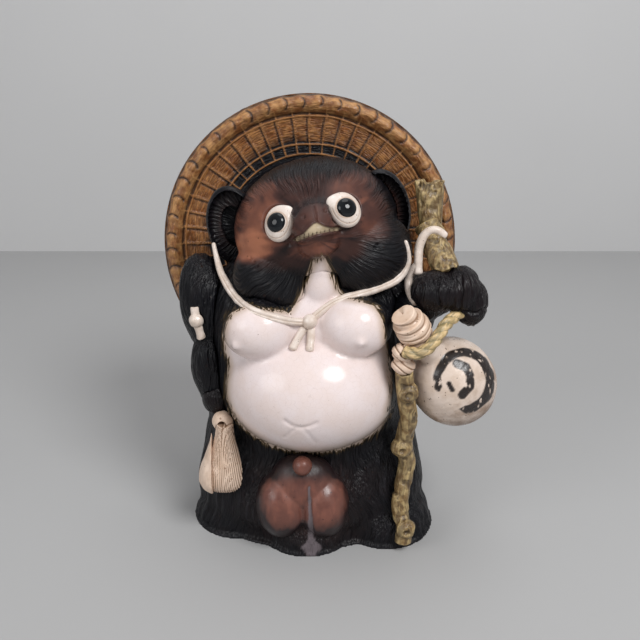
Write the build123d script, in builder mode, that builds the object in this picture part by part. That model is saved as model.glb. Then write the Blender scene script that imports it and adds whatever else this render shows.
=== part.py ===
"""Glazed stoneware raccoon-dog figure with a straw hat, a flask, a staff and an account book.

The figure is made the way a potter makes it: pressed shells, turned forms and rolled strings of
clay, each a piece of its own, luted together with slip before one firing. Nothing on it moves.
It faces -Y with +Z up, and stands on z = 0 with the origin under the middle of the box that it
fills. Left and right are the figure's own, so its left side is at +X. Millimetres and degrees.
"""

from build123d import *
import math
import os

os.makedirs("parts", exist_ok=True)

# The body: its neck joint above the floor, its half sizes at the hips and its pressed wall.
body_height = 245.0
body_half_width = 106.0
body_half_depth = 86.0
body_wall = 9.0
neck_bore = 46.0
# The figure's own middle line, from the middle of the box that the whole statue fills.
axis_x = -12.0
axis_y = 8.2
# The mould seam between the front and back halves, as a share of the half depth.
seam_place_share = -0.06
# How high the hollow of the body reaches, as a share of its height.
hollow_top_share = 0.90

# Each row of the body: height, half width, half depth and centre, as shares of its sizes.
body_row_shares = (
    (0.00, 0.97, 0.97, -0.06),
    (0.09, 1.00, 0.99, -0.06),
    (0.22, 0.95, 0.92, -0.02),
    (0.37, 0.87, 0.84, -0.02),
    (0.51, 0.80, 0.79, -0.22),
    (0.65, 0.78, 0.72, -0.26),
    (0.80, 0.78, 0.65, -0.24),
    (0.92, 0.68, 0.54, -0.17),
    (1.00, 0.46, 0.41, -0.09),
)

# The soft swellings pressed into the front mould, each with its half sizes.
belly_half_width = 74.0
belly_half_depth = 70.0
belly_half_height = 57.0
belly_place_shares = (0.02, -0.48, 0.56)
breast_radius = 26.0
breast_form_shares = (1.12, 1.0, 0.96)
breast_right_place_shares = (-0.37, -0.78, 0.79)
breast_left_place_shares = (0.35, -0.78, 0.80)
throat_radius = 30.0
throat_form_shares = (0.7, 1.0, 1.05)
throat_place_shares = (0.08, -0.48, 0.93)
leg_height = 88.0
leg_form_shares = (0.48, 0.52, 1.0)
leg_right_place_shares = (-0.52, -0.33, 0.08)
leg_left_place_shares = (0.56, -0.37, 0.08)
foot_half_length = 49.0
foot_form_shares = (0.90, 1.0, 0.9)
foot_right_place_shares = (-0.58, -0.29, 0.0)
foot_middle_place_shares = (-0.02, -0.58, 0.0)
foot_left_place_shares = (0.62, -0.46, 0.0)

# The tail and the lucky pouch with its knob.
tail_radius = 26.0
tail_form_shares = (0.95, 0.8, 1.25)
tail_place_shares = (0.0, 0.86, 0.15)
pouch_radius = 27.0
pouch_form_shares = (0.88, 1.0, 1.16)
pouch_side = 17.0
pouch_place_shares = (-0.05, -0.86, 0.155)
pouch_crown_form_shares = (1.05, 0.8, 1.0)
pouch_crown_rise = 20.0
pouch_knob_radius = 8.0
pouch_knob_place_shares = (-0.05, -1.03, 0.335)

# The head, a pressed shell tipped to one side, with its two jowls.
head_half_width = 67.0
head_half_depth = 64.0
head_half_height = 54.0
head_wall = 9.0
head_tilt = 10.7
head_place_shares = (0.05, -0.14, 1.075)
jowl_radius = 39.0
jowl_form_shares = (1.03, 0.92, 0.92)
jowl_side_share = 0.50
jowl_front_share = 0.36
jowl_right_drop_share = 0.56
jowl_left_drop_share = 0.44

# The ears are cups with a thin rim, the right one set a little higher on the tipped head.
ear_half_height = 34.0
ear_form_shares = (0.66, 0.42, 1.0)
ear_rim = 3.0
ear_scoop = 6.0
ear_right_place_shares = (-0.98, -0.02, 0.20)
ear_left_place_shares = (0.84, -0.02, 0.03)

# The eyes: a raised white almond with a round bead in it.
eye_white_half_width = 11.8
eye_white_form_shares = (1.0, 1.19, 0.5)
eye_place_shares = (0.39, 0.42)
eye_turn = 16.0
pupil_radius = 6.4
pupil_depth_share = 0.6
pupil_out_share = 0.38

# The snout: the upper muzzle, the row of teeth and the lower jaw.
muzzle_half_width = 19.0
muzzle_form_shares = (1.0, 1.6, 0.68)
muzzle_place_shares = (0.03, -0.88, 0.36)
muzzle_lift = 12.0
jaw_half_width = 17.5
jaw_form_shares = (1.0, 1.6, 0.62)
jaw_place_shares = (0.04, -0.84, 0.06)
teeth_half_width = 17.0
teeth_form_shares = (1.0, 1.62, 0.34)
teeth_place_shares = (0.035, -0.86, 0.21)

# The hat, a shallow cone that leans on the back of the head and on the shoulders.
hat_radius = 130.0
hat_lattice_radius = 113.0
hat_hoop_radius = 87.0
hat_bed_radius = 76.0
hat_bed_neck = 48.0
hat_bed_length = 30.0
hat_wall = 8.0
hat_pitch = 18.0
hat_lean = 8.0
hat_place_shares = (-0.165, 0.80, -0.54)
hat_rib_count = 48
hat_rib_width = 1.7
hat_rib_height = 1.3
hoop_width = 2.4
# The rolled rim of the hat, bound with cord that leaves a slanted dent at every turn.
rim_half_thickness = 7.0
rim_dent_length = 9.0
rim_dent_width = 3.6
rim_dent_depth = 2.0
rim_dent_slant = 28.0

# The arms hang as two eggs each, with a paw of short finger lobes at the end.
arm_half_length = 48.0
arm_right_form_shares = (0.50, 0.58, 1.0)
arm_right_place_shares = (-0.80, -0.18, 0.785)
arm_right_turn = -10.0
forearm_half_length = 35.0
forearm_right_form_shares = (0.50, 0.62, 1.0)
forearm_right_place_shares = (-0.775, -0.38, 0.58)
forearm_right_turn = -8.0
arm_left_form_shares = (0.58, 0.60, 1.0)
arm_left_place_shares = (0.66, -0.20, 0.84)
arm_left_turn = -38.0
forearm_left_form_shares = (0.50, 0.58, 1.0)
forearm_left_place_shares = (0.92, -0.52, 0.865)
forearm_left_turn = 58.0
paw_radius = 16.0
paw_right_form_shares = (0.82, 0.86, 0.95)
paw_right_place_shares = (-0.735, -0.52, 0.50)
paw_left_lobe_shares = (
    (0.935, -0.70, 0.905, 1.25, 1.1, 1.05),
    (1.13, -0.69, 0.905, 0.95, 1.15, 1.3),
    (1.21, -0.66, 0.865, 0.85, 1.1, 1.25),
)

# The cords are rolled strings; their routes are places in shares of the body's sizes.
cord_thickness = 6.5
neck_cord_right_shares = (
    (-0.739, -0.21, 1.02),
    (-0.70, -0.31, 0.945),
    (-0.632, -0.45, 0.905),
    (-0.543, -0.65, 0.875),
    (-0.418, -0.95, 0.873),
    (-0.238, -0.985, 0.852),
    (-0.09, -0.885, 0.824),
    (0.01, -0.875, 0.826),
)
neck_cord_left_shares = (
    (0.706, -0.60, 1.065),
    (0.745, -0.60, 1.015),
    (0.728, -0.605, 0.972),
    (0.652, -0.668, 0.9385),
    (0.529, -0.722, 0.9195),
    (0.38, -0.735, 0.90),
    (0.246, -0.80, 0.893),
    (0.143, -0.825, 0.874),
    (0.01, -0.875, 0.828),
)
cord_knot_radius = 6.0
cord_knot_place_shares = (0.01, -0.89, 0.828)
cord_tail_thickness = 6.5
cord_tail_right_shares = ((-0.02, -0.885, 0.81), (-0.085, -0.91, 0.772), (-0.119, -0.975, 0.741))
cord_tail_left_shares = ((0.02, -0.885, 0.81), (0.022, -0.92, 0.765), (0.008, -0.995, 0.738))
nipple_radius = 4.0
nipple_right_shares = (-0.55, -0.76, -0.25)
nipple_left_shares = (0.10, -0.96, -0.18)

# The staff, a crooked branch in three lengths, and the cords that tie it.
staff_thickness = 14.0
staff_lower_shares = (
    (0.70, -0.98, 0.70),
    (0.72, -0.97, 0.585),
    (0.765, -0.94, 0.50),
    (0.725, -0.86, 0.39),
    (0.78, -0.82, 0.305),
    (0.735, -0.86, 0.215),
    (0.715, -0.91, 0.15),
    (0.755, -0.99, 0.08),
    (0.745, -1.02, 0.03),
)
staff_knot_shares = ((0.735, -1.0, 0.60), (0.715, -0.90, 0.38), (0.76, -1.03, 0.09))
staff_knot_radius = 8.5
staff_hole_radius = 3.2
staff_middle_top_shares = (0.90, -0.30, 1.085)
staff_middle_end_shares = (1.03, -0.63, 0.955)
staff_middle_thickness = 21.0
staff_top_foot_shares = (0.925, -0.27, 1.065)
staff_top_end_shares = (0.915, -0.14, 1.232)
staff_top_thickness = 17.0
staff_top_flare = 24.0
staff_top_bore = 14.0
staff_top_bore_depth = 10.0
staff_wrap_thickness = 19.0
staff_wrap_height = 22.0
staff_wrap_place_shares = (0.695, -0.985, 0.715)
tie_thickness = 7.0
tie_loop_shares = (
    (0.82, -0.58, 0.945),
    (0.81, -0.52, 1.00),
    (0.835, -0.47, 1.055),
    (0.90, -0.46, 1.085),
    (0.97, -0.47, 1.085),
    (1.02, -0.46, 1.06),
)
tie_hanging_shares = (
    (0.83, -0.55, 0.985),
    (0.775, -0.52, 0.958),
    (0.745, -0.52, 0.915),
    (0.755, -0.63, 0.885),
    (0.80, -0.74, 0.868),
)
sleeve_tie_shares = ((-0.875, -0.48, 0.825), (-0.865, -0.51, 0.78), (-0.835, -0.50, 0.715))
sleeve_knot_radius = 6.0

# The flask: an egg-shaped ball, its neck leaning towards the chest, a layered stopper and a rope.
flask_radius = 35.0
flask_length = 80.0
flask_neck_radius = 11.0
flask_neck_length = 22.0
flask_foot_radius = 5.0
flask_lean = 31.6
flask_nod = 22.6
flask_place_shares = (1.11, -0.66, 0.583)
stopper_radius = 14.0
stopper_tier = 7.0
stopper_tier_shares = (0.86, 1.0, 0.92, 0.70)
flask_cord_thickness = 10.0
flask_cord_shares = (
    (1.13, -0.76, 0.845),
    (1.01, -0.90, 0.83),
    (0.94, -1.02, 0.80),
    (0.86, -1.10, 0.765),
    (0.76, -1.11, 0.745),
    (0.68, -1.06, 0.755),
)

# The account book: a bundle of leaves, narrow where it is tied and fanned at the foot.
book_length = 62.0
book_top_half_width = 7.0
book_foot_half_width = 18.0
book_half_thickness = 14.0
book_lean = 3.0
book_place_shares = (-0.69, -0.74, 0.185)
book_row_shares = ((0.0, 0.78, 0.62), (0.12, 1.0, 1.0), (0.45, 0.82, 0.9), (0.8, 0.48, 0.62))
book_cover_wall = 3.0
book_cover_side_share = 0.45
book_knot_radius = 9.0
book_knot_bore = 7.0
book_knot_place_shares = (-0.68, -0.68, 0.437)

# How much of the shorter run beside it each bend of a rolled string may take.
bend_share = 0.45
# One overrun serves every cut that has to run clear through.
overrun = 12.0
# A pressed egg ends in a small flat at each pole, this many degrees from its middle.
egg_end = 87.0


def on_body(shares):
    """A place given as shares of the body's half width, half depth and height."""
    return Vector(
        axis_x + shares[0] * body_half_width,
        axis_y + shares[1] * body_half_depth,
        shares[2] * body_height,
    )


def ball(place, half_width, half_depth, half_height):
    """A closed ball of clay with three half sizes, put down at a place or a turned location."""
    with BuildPart() as lump:
        Sphere(1, arc_size1=-egg_end, arc_size2=egg_end, rotation=(90, 0, 0))
        scale(by=(half_width, half_depth, half_height))
    return lump.part.moved(Location(place) if isinstance(place, Vector) else place)


def egg(place, form, size):
    """A ball of clay whose three half sizes are form shares of one size."""
    return ball(place, form[0] * size, form[1] * size, form[2] * size)


def bend_radii(points):
    """The widest bend that the two runs at each inner point leave room for."""
    radii = []
    for before, here, after in zip(points, points[1:], points[2:]):
        run = min((here - before).length, (after - here).length)
        half_turn = math.radians((here - before).get_angle(after - here)) / 2
        radii.append(bend_share * run / math.tan(half_turn))
    return radii


def strand(places, thickness):
    """A rolled string of clay along straight runs and wide bends, its route in body shares."""
    points = [on_body(place) for place in places]
    with BuildPart() as rope:
        with BuildLine() as route:
            FilletPolyline(*points, radius=bend_radii(points))
        with BuildSketch(Plane(origin=route.line @ 0, z_dir=route.line % 0)):
            Circle(thickness / 2)
        sweep(path=route.line)
    return rope.part


# The frame of the tipped head: its middle and its own directions.
head_frame = Location(on_body(head_place_shares), (0, -head_tilt, 0))


def in_head(shares, turn=(0, 0, 0)):
    """A location given as shares of the head's half sizes, in the head's own directions."""
    inner = (shares[0] * head_half_width, shares[1] * head_half_depth, shares[2] * head_half_height)
    return head_frame * Location(inner, turn)


def on_brow(side, height, turn):
    """A location on the front of the skull, its z out of the face and its y up the face."""
    front = -math.sqrt(1 - side**2 - height**2)
    out = Vector(side / head_half_width, front / head_half_depth, height / head_half_height)
    touching = Plane(
        origin=in_head((side, front, height)).position,
        x_dir=Vector(1, 0, 0).rotate(Axis.Y, -head_tilt),
        z_dir=out.rotate(Axis.Y, -head_tilt),
    )
    return touching.location * Location((0, 0, 0), (0, 0, turn))


# The plane of the hat: its normal looks forward and up, and its middle is behind the head.
hat_forward = Vector(0, -1, 0).rotate(Axis.X, -hat_lean)
hat_plane = Plane(origin=in_head(hat_place_shares).position, x_dir=(1, 0, 0), z_dir=hat_forward)
hat_side = Plane(origin=hat_plane.origin, x_dir=hat_plane.x_dir, z_dir=-hat_plane.y_dir)
hat_axis = Axis(hat_plane.origin, hat_plane.z_dir)
hat_slope = math.tan(math.radians(hat_pitch))


def hat_front(radius):
    """How far in front of the hat's plane its inner cone lies at a radius."""
    return (radius - hat_lattice_radius) * hat_slope


# The bed behind the neck, which fills the middle of the hat and carries it.
with BuildPart() as hat_bed:
    with BuildSketch(hat_side):
        with BuildLine():
            Polyline(
                (0, hat_front(0)),
                (hat_bed_radius, hat_front(hat_bed_radius)),
                (hat_bed_neck, hat_front(hat_bed_radius) + hat_bed_length),
                (0, hat_front(hat_bed_radius) + hat_bed_length),
                close=True,
            )
        make_face()
    revolve(axis=hat_axis)

# The whole outside of the body, before its two halves are parted.
belly = ball(on_body(belly_place_shares), belly_half_width, belly_half_depth, belly_half_height)
breast_right = egg(on_body(breast_right_place_shares), breast_form_shares, breast_radius)
breast_left = egg(on_body(breast_left_place_shares), breast_form_shares, breast_radius)
throat = egg(on_body(throat_place_shares), throat_form_shares, throat_radius)
leg_right = egg(on_body(leg_right_place_shares), leg_form_shares, leg_height)
leg_left = egg(on_body(leg_left_place_shares), leg_form_shares, leg_height)
foot_right = egg(on_body(foot_right_place_shares), foot_form_shares, foot_half_length)
foot_middle = egg(on_body(foot_middle_place_shares), foot_form_shares, foot_half_length)
foot_left = egg(on_body(foot_left_place_shares), foot_form_shares, foot_half_length)
floor_half_size = body_half_width + foot_half_length + leg_height

with BuildPart() as trunk:
    for height, width, depth, centre in body_row_shares:
        with BuildSketch(Plane.XY.offset(height * body_height)):
            with Locations((axis_x, axis_y + centre * body_half_depth)):
                Ellipse(width * body_half_width, depth * body_half_depth)
    loft()

with BuildPart() as body_form:
    add(trunk.part)
    for swelling in (belly, breast_right, breast_left, throat, leg_right, leg_left):
        add(swelling)
    for swelling in (foot_right, foot_middle, foot_left):
        add(swelling)
    with BuildSketch(Plane.XY):
        Rectangle(2 * floor_half_size, 2 * floor_half_size)
    extrude(amount=-leg_height - overrun, mode=Mode.SUBTRACT)

# The hollow of the body: the same rows drawn in by the wall, open at the floor and at the neck.
hollow_rows = [row for row in body_row_shares if row[0] <= hollow_top_share]
belly_hollow = ball(
    on_body(belly_place_shares),
    belly_half_width - body_wall,
    belly_half_depth - body_wall,
    belly_half_height - body_wall,
)
with BuildPart() as hollow:
    for height, width, depth, centre in hollow_rows:
        with BuildSketch(Plane.XY.offset(height * body_height)):
            with Locations((axis_x, axis_y + centre * body_half_depth)):
                Ellipse(width * body_half_width - body_wall, depth * body_half_depth - body_wall)
    loft(ruled=True)
    add(belly_hollow)
neck_plane = Plane.XY.offset(hollow_rows[-1][0] * body_height - overrun)
neck_centre = (axis_x, axis_y + body_row_shares[-1][3] * body_half_depth)

seam_plane = Plane.XZ.offset(-axis_y - seam_place_share * body_half_depth)
with BuildPart() as body_pressed:
    add(body_form.part)
    add(hollow.part, mode=Mode.SUBTRACT)
    with BuildSketch(neck_plane):
        with Locations(neck_centre):
            Circle(neck_bore / 2)
    extrude(amount=body_height, mode=Mode.SUBTRACT)

with BuildPart() as body_front:
    add(body_pressed.part)
    split(bisect_by=seam_plane, keep=Keep.TOP)
body_front.part.label = "body_front"
export_step(body_front.part, "parts/body_front.step")

with BuildPart() as body_back:
    add(body_pressed.part)
    split(bisect_by=seam_plane, keep=Keep.BOTTOM)
body_back.part.label = "body_back"
export_step(body_back.part, "parts/body_back.step")

with BuildPart() as tail:
    add(egg(on_body(tail_place_shares), tail_form_shares, tail_radius))
    add(body_form.part, mode=Mode.SUBTRACT)
tail.part.label = "tail"
export_step(tail.part, "parts/tail.step")

# The pouch is two lobes under one crown, pressed on the front between the legs.
pouch_place = on_body(pouch_place_shares)
with BuildPart() as lucky_pouch:
    for side in (-1, 1):
        add(egg(pouch_place + Vector(side * pouch_side, 0, 0), pouch_form_shares, pouch_radius))
    crown_place = pouch_place + Vector(0, 0, pouch_crown_rise)
    add(egg(crown_place, pouch_crown_form_shares, pouch_radius))
    add(body_form.part, mode=Mode.SUBTRACT)
lucky_pouch.part.label = "lucky_pouch"
export_step(lucky_pouch.part, "parts/lucky_pouch.step")

with BuildPart() as pouch_knob:
    add(egg(on_body(pouch_knob_place_shares), (1, 1, 1), pouch_knob_radius))
    add(body_form.part, mode=Mode.SUBTRACT)
    add(lucky_pouch.part, mode=Mode.SUBTRACT)
pouch_knob.part.label = "pouch_knob"
export_step(pouch_knob.part, "parts/pouch_knob.step")

# The whole outside of the head, then its shell with the hollow that opens into the neck.
skull = ball(head_frame, head_half_width, head_half_depth, head_half_height)
jowls = [
    egg(
        in_head((side * jowl_side_share, -jowl_front_share, -drop)),
        jowl_form_shares,
        jowl_radius,
    )
    for side, drop in ((-1, jowl_right_drop_share), (1, jowl_left_drop_share))
]
with BuildPart() as head_form:
    add(skull)
    for jowl in jowls:
        add(jowl)
    add(hat_bed.part)
    add(body_form.part, mode=Mode.SUBTRACT)

head_hollow = ball(
    head_frame,
    head_half_width - head_wall,
    head_half_depth - head_wall,
    head_half_height - head_wall,
)
with BuildPart() as head_shell:
    add(head_form.part)
    add(head_hollow, mode=Mode.SUBTRACT)
    with BuildSketch(neck_plane):
        with Locations(neck_centre):
            Circle(neck_bore / 2)
    extrude(amount=body_height - neck_plane.origin.Z + head_wall, mode=Mode.SUBTRACT)
head_shell.part.label = "head_shell"
export_step(head_shell.part, "parts/head_shell.step")


def ear_cup(shares):
    """An ear: an egg with a smaller egg scooped out of its front, which leaves a thin rim."""
    width, depth, height = (share * ear_half_height for share in ear_form_shares)
    scoop = in_head(shares) * Location((0, -ear_scoop, 0))
    with BuildPart() as cup:
        add(ball(in_head(shares), width, depth, height))
        add(ball(scoop, width - ear_rim, depth, height - ear_rim), mode=Mode.SUBTRACT)
        add(head_form.part, mode=Mode.SUBTRACT)
        add(body_form.part, mode=Mode.SUBTRACT)
    return cup.part


with BuildPart() as ear_right:
    add(ear_cup(ear_right_place_shares))
ear_right.part.label = "ear_right"
export_step(ear_right.part, "parts/ear_right.step")

with BuildPart() as ear_left:
    add(ear_cup(ear_left_place_shares))
ear_left.part.label = "ear_left"
export_step(ear_left.part, "parts/ear_left.step")


# The snout: the muzzle over the lower jaw.
with BuildPart() as lower_jaw:
    add(egg(in_head(jaw_place_shares, (muzzle_lift, 0, 0)), jaw_form_shares, jaw_half_width))
    add(head_form.part, mode=Mode.SUBTRACT)
lower_jaw.part.label = "lower_jaw"
export_step(lower_jaw.part, "parts/lower_jaw.step")

with BuildPart() as muzzle:
    add(egg(in_head(muzzle_place_shares, (muzzle_lift, 0, 0)), muzzle_form_shares, muzzle_half_width))
    add(head_form.part, mode=Mode.SUBTRACT)
    add(lower_jaw.part, mode=Mode.SUBTRACT)
muzzle.part.label = "muzzle"
export_step(muzzle.part, "parts/muzzle.step")


def eye_bead(side):
    """The place of an eye's round bead, standing out of the white."""
    seat = on_brow(side * eye_place_shares[0], eye_place_shares[1], side * eye_turn)
    out = Location((0, 0, pupil_out_share * eye_white_half_width))
    return ball(seat * out, pupil_radius, pupil_radius, pupil_depth_share * pupil_radius)


def eye_white(side):
    """The raised white of an eye, seated on the skull and dished for its bead."""
    seat = on_brow(side * eye_place_shares[0], eye_place_shares[1], side * eye_turn)
    with BuildPart() as white:
        add(egg(seat, eye_white_form_shares, eye_white_half_width))
        add(eye_bead(side), mode=Mode.SUBTRACT)
        add(head_form.part, mode=Mode.SUBTRACT)
        add(muzzle.part, mode=Mode.SUBTRACT)
    return white.part


with BuildPart() as eye_white_right:
    add(eye_white(-1))
eye_white_right.part.label = "eye_white_right"
export_step(eye_white_right.part, "parts/eye_white_right.step")

with BuildPart() as eye_white_left:
    add(eye_white(1))
eye_white_left.part.label = "eye_white_left"
export_step(eye_white_left.part, "parts/eye_white_left.step")

with BuildPart() as pupil_right:
    add(eye_bead(-1))
    add(head_form.part, mode=Mode.SUBTRACT)
pupil_right.part.label = "pupil_right"
export_step(pupil_right.part, "parts/pupil_right.step")

with BuildPart() as pupil_left:
    add(eye_bead(1))
    add(head_form.part, mode=Mode.SUBTRACT)
pupil_left.part.label = "pupil_left"
export_step(pupil_left.part, "parts/pupil_left.step")

# The row of teeth is one flat egg, of which the edge shows between the muzzle and the jaw.
with BuildPart() as teeth:
    add(egg(in_head(teeth_place_shares, (muzzle_lift, 0, 0)), teeth_form_shares, teeth_half_width))
    for gum in (lower_jaw, muzzle, head_form):
        add(gum.part, mode=Mode.SUBTRACT)
teeth.part.label = "teeth"
export_step(teeth.part, "parts/teeth.step")

# The rolled rim of the hat, with its dents, and the dish that carries the rim on its edge.
rim_radius = (hat_radius + hat_lattice_radius) / 2
with BuildPart() as hat_rim:
    with BuildSketch(hat_side):
        with BuildLine():
            for bulge in (rim_half_thickness, -rim_half_thickness):
                ThreePointArc((hat_lattice_radius, 0), (rim_radius, bulge), (hat_radius, 0))
        make_face()
    revolve(axis=hat_axis)
    with BuildSketch(hat_plane.offset(rim_half_thickness)):
        with PolarLocations(rim_radius, hat_rib_count):
            SlotOverall(rim_dent_length, rim_dent_width, rotation=rim_dent_slant)
    extrude(amount=-rim_dent_depth, mode=Mode.SUBTRACT)
    add(trunk.part, mode=Mode.SUBTRACT)
hat_rim.part.label = "hat_rim"
export_step(hat_rim.part, "parts/hat_rim.step")


def hoop_points(radius):
    """The corners of one hoop's raised line on the inner cone, from the middle outwards."""
    return [
        (radius - hoop_width / 2, hat_front(radius - hoop_width / 2)),
        (radius, hat_front(radius) + hat_rib_height),
        (radius + hoop_width / 2, hat_front(radius + hoop_width / 2)),
    ]


# The hat's dish: a turned cone with raised hoops and, between them, a fan of straight ribs.
fan_start = hat_bed_radius + hoop_width
fan_end = hat_lattice_radius - hoop_width
fan_middle = (fan_start + fan_end) / 2
rib_length = (fan_end - fan_start) / math.cos(math.radians(hat_pitch))
rib_seat = Location((fan_middle, 0, hat_front(fan_middle)), (0, -hat_pitch, 0))
rib_places = [
    hat_plane.location * Location((0, 0, 0), (0, 0, 360 * rib / hat_rib_count)) * rib_seat
    for rib in range(hat_rib_count)
]
with BuildPart() as hat:
    with BuildSketch(hat_side):
        with BuildLine():
            Polyline(
                (0, hat_front(0)),
                *hoop_points(fan_start),
                *hoop_points(hat_hoop_radius),
                *hoop_points(fan_end),
                (hat_lattice_radius, 0),
            )
            ThreePointArc((hat_lattice_radius, 0), (rim_radius, -rim_half_thickness), (hat_radius, 0))
            Polyline(
                (hat_radius, 0),
                (rim_radius, -hat_wall),
                (hat_lattice_radius, -hat_wall),
                (0, hat_front(0) - hat_wall),
                (0, hat_front(0)),
            )
        make_face()
    revolve(axis=hat_axis)
    with Locations(*rib_places):
        Box(rib_length, hat_rib_width, 2 * hat_rib_height)
    add(trunk.part, mode=Mode.SUBTRACT)
hat.part.label = "hat"
export_step(hat.part, "parts/hat.step")


# The arms, each an upper arm and a forearm, and the paws with their short lobes.
def limb(place, turn, form, half_length):
    """One egg of an arm, turned about the line of sight."""
    return egg(Location(on_body(place), (0, turn, 0)), form, half_length)


with BuildPart() as arm_right:
    add(limb(arm_right_place_shares, arm_right_turn, arm_right_form_shares, arm_half_length))
    add(
        limb(
            forearm_right_place_shares,
            forearm_right_turn,
            forearm_right_form_shares,
            forearm_half_length,
        )
    )
    for other in (body_form, head_form, ear_right, hat_rim):
        add(other.part, mode=Mode.SUBTRACT)
arm_right.part.label = "arm_right"
export_step(arm_right.part, "parts/arm_right.step")

with BuildPart() as paw_right:
    add(egg(on_body(paw_right_place_shares), paw_right_form_shares, paw_radius))
    for other in (body_form, arm_right):
        add(other.part, mode=Mode.SUBTRACT)
paw_right.part.label = "paw_right"
export_step(paw_right.part, "parts/paw_right.step")

with BuildPart() as arm_left:
    add(limb(arm_left_place_shares, arm_left_turn, arm_left_form_shares, arm_half_length))
    add(
        limb(
            forearm_left_place_shares,
            forearm_left_turn,
            forearm_left_form_shares,
            forearm_half_length,
        )
    )
    for other in (body_form, head_form, ear_left, hat_rim):
        add(other.part, mode=Mode.SUBTRACT)
arm_left.part.label = "arm_left"
export_step(arm_left.part, "parts/arm_left.step")

with BuildPart() as paw_left:
    for side, front, height, wide, deep, tall in paw_left_lobe_shares:
        add(egg(on_body((side, front, height)), (wide, deep, tall), paw_radius))
    for other in (body_form, arm_left):
        add(other.part, mode=Mode.SUBTRACT)
paw_left.part.label = "paw_left"
export_step(paw_left.part, "parts/paw_left.step")

# The cord that comes from behind the ears, follows the jowls and is knotted on the chest.
with BuildPart() as cord_knot:
    add(egg(on_body(cord_knot_place_shares), (1, 1, 1), cord_knot_radius))
    add(body_form.part, mode=Mode.SUBTRACT)
cord_knot.part.label = "cord_knot"
export_step(cord_knot.part, "parts/cord_knot.step")

with BuildPart() as neck_cord_right:
    add(strand(neck_cord_right_shares, cord_thickness))
    for other in (body_form, head_form, ear_right, arm_right, cord_knot):
        add(other.part, mode=Mode.SUBTRACT)
neck_cord_right.part.label = "neck_cord_right"
export_step(neck_cord_right.part, "parts/neck_cord_right.step")

with BuildPart() as neck_cord_left:
    add(strand(neck_cord_left_shares, cord_thickness))
    for other in (body_form, head_form, ear_left, arm_left, cord_knot):
        add(other.part, mode=Mode.SUBTRACT)
neck_cord_left.part.label = "neck_cord_left"
export_step(neck_cord_left.part, "parts/neck_cord_left.step")

with BuildPart() as cord_tail_right:
    add(strand(cord_tail_right_shares, cord_tail_thickness))
    for other in (body_form, cord_knot, neck_cord_right):
        add(other.part, mode=Mode.SUBTRACT)
cord_tail_right.part.label = "cord_tail_right"
export_step(cord_tail_right.part, "parts/cord_tail_right.step")

with BuildPart() as cord_tail_left:
    add(strand(cord_tail_left_shares, cord_tail_thickness))
    for other in (body_form, cord_knot, neck_cord_left, cord_tail_right):
        add(other.part, mode=Mode.SUBTRACT)
cord_tail_left.part.label = "cord_tail_left"
export_step(cord_tail_left.part, "parts/cord_tail_left.step")


def nipple(place, form, shares):
    """A small pellet on a breast, its place in shares of the breast's half sizes."""
    reach = Vector(*(share * size * breast_radius for share, size in zip(shares, form)))
    return egg(on_body(place) + reach, (1, 1, 1), nipple_radius)


with BuildPart() as nipple_right:
    add(nipple(breast_right_place_shares, breast_form_shares, nipple_right_shares))
    add(body_form.part, mode=Mode.SUBTRACT)
nipple_right.part.label = "nipple_right"
export_step(nipple_right.part, "parts/nipple_right.step")

with BuildPart() as nipple_left:
    add(nipple(breast_left_place_shares, breast_form_shares, nipple_left_shares))
    add(body_form.part, mode=Mode.SUBTRACT)
nipple_left.part.label = "nipple_left"
export_step(nipple_left.part, "parts/nipple_left.step")

# The flask: its side is one turned profile, which leans so that the neck meets the chest.
flask_frame = Location(on_body(flask_place_shares), (flask_nod, -flask_lean, 0))
flask_side = Plane(flask_frame * Location((0, 0, 0), (90, 0, 0)))
flask_axis = Axis(flask_frame.position, Plane(flask_frame).z_dir)
flask_shoulder = math.sqrt(1 - (flask_neck_radius / flask_radius) ** 2) * flask_length / 2
flask_mouth = flask_shoulder + flask_neck_length
with BuildPart() as flask_body:
    with BuildSketch(flask_side):
        with BuildLine():
            ThreePointArc(
                (flask_foot_radius, -flask_length / 2),
                (flask_radius * math.cos(math.pi / 4), -flask_length / 2 * math.sin(math.pi / 4)),
                (flask_radius, 0),
            )
            ThreePointArc(
                (flask_radius, 0),
                (flask_radius * math.cos(math.pi / 5), flask_length / 2 * math.sin(math.pi / 5)),
                (flask_neck_radius, flask_shoulder),
            )
            Polyline(
                (flask_neck_radius, flask_shoulder),
                (flask_neck_radius, flask_mouth),
                (0, flask_mouth),
                (0, -flask_length / 2),
                (flask_foot_radius, -flask_length / 2),
            )
        make_face()
    revolve(axis=flask_axis)
    for other in (body_form, arm_left, paw_left):
        add(other.part, mode=Mode.SUBTRACT)
flask_body.part.label = "flask_body"
export_step(flask_body.part, "parts/flask_body.step")

with BuildPart() as flask_stopper:
    for tier, share in enumerate(stopper_tier_shares):
        with BuildSketch(Plane(flask_frame * Location((0, 0, flask_mouth + tier * stopper_tier)))):
            Circle(share * stopper_radius)
        extrude(amount=stopper_tier)
    for other in (body_form, arm_left, paw_left, flask_body):
        add(other.part, mode=Mode.SUBTRACT)
flask_stopper.part.label = "flask_stopper"
export_step(flask_stopper.part, "parts/flask_stopper.step")

with BuildPart() as flask_cord:
    add(strand(flask_cord_shares, flask_cord_thickness))
    for other in (body_form, arm_left, paw_left, flask_body, flask_stopper):
        add(other.part, mode=Mode.SUBTRACT)
flask_cord.part.label = "flask_cord"
export_step(flask_cord.part, "parts/flask_cord.step")


def stick(start, end, start_radius, end_radius):
    """A straight tapering length of branch between two places in body shares."""
    length = (on_body(end) - on_body(start)).length
    seat = Plane(origin=on_body(start), z_dir=on_body(end) - on_body(start))
    with BuildPart() as wood:
        with BuildSketch(seat):
            Circle(start_radius)
        with BuildSketch(seat.offset(length)):
            Circle(end_radius)
        loft(ruled=True)
    return wood.part


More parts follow.
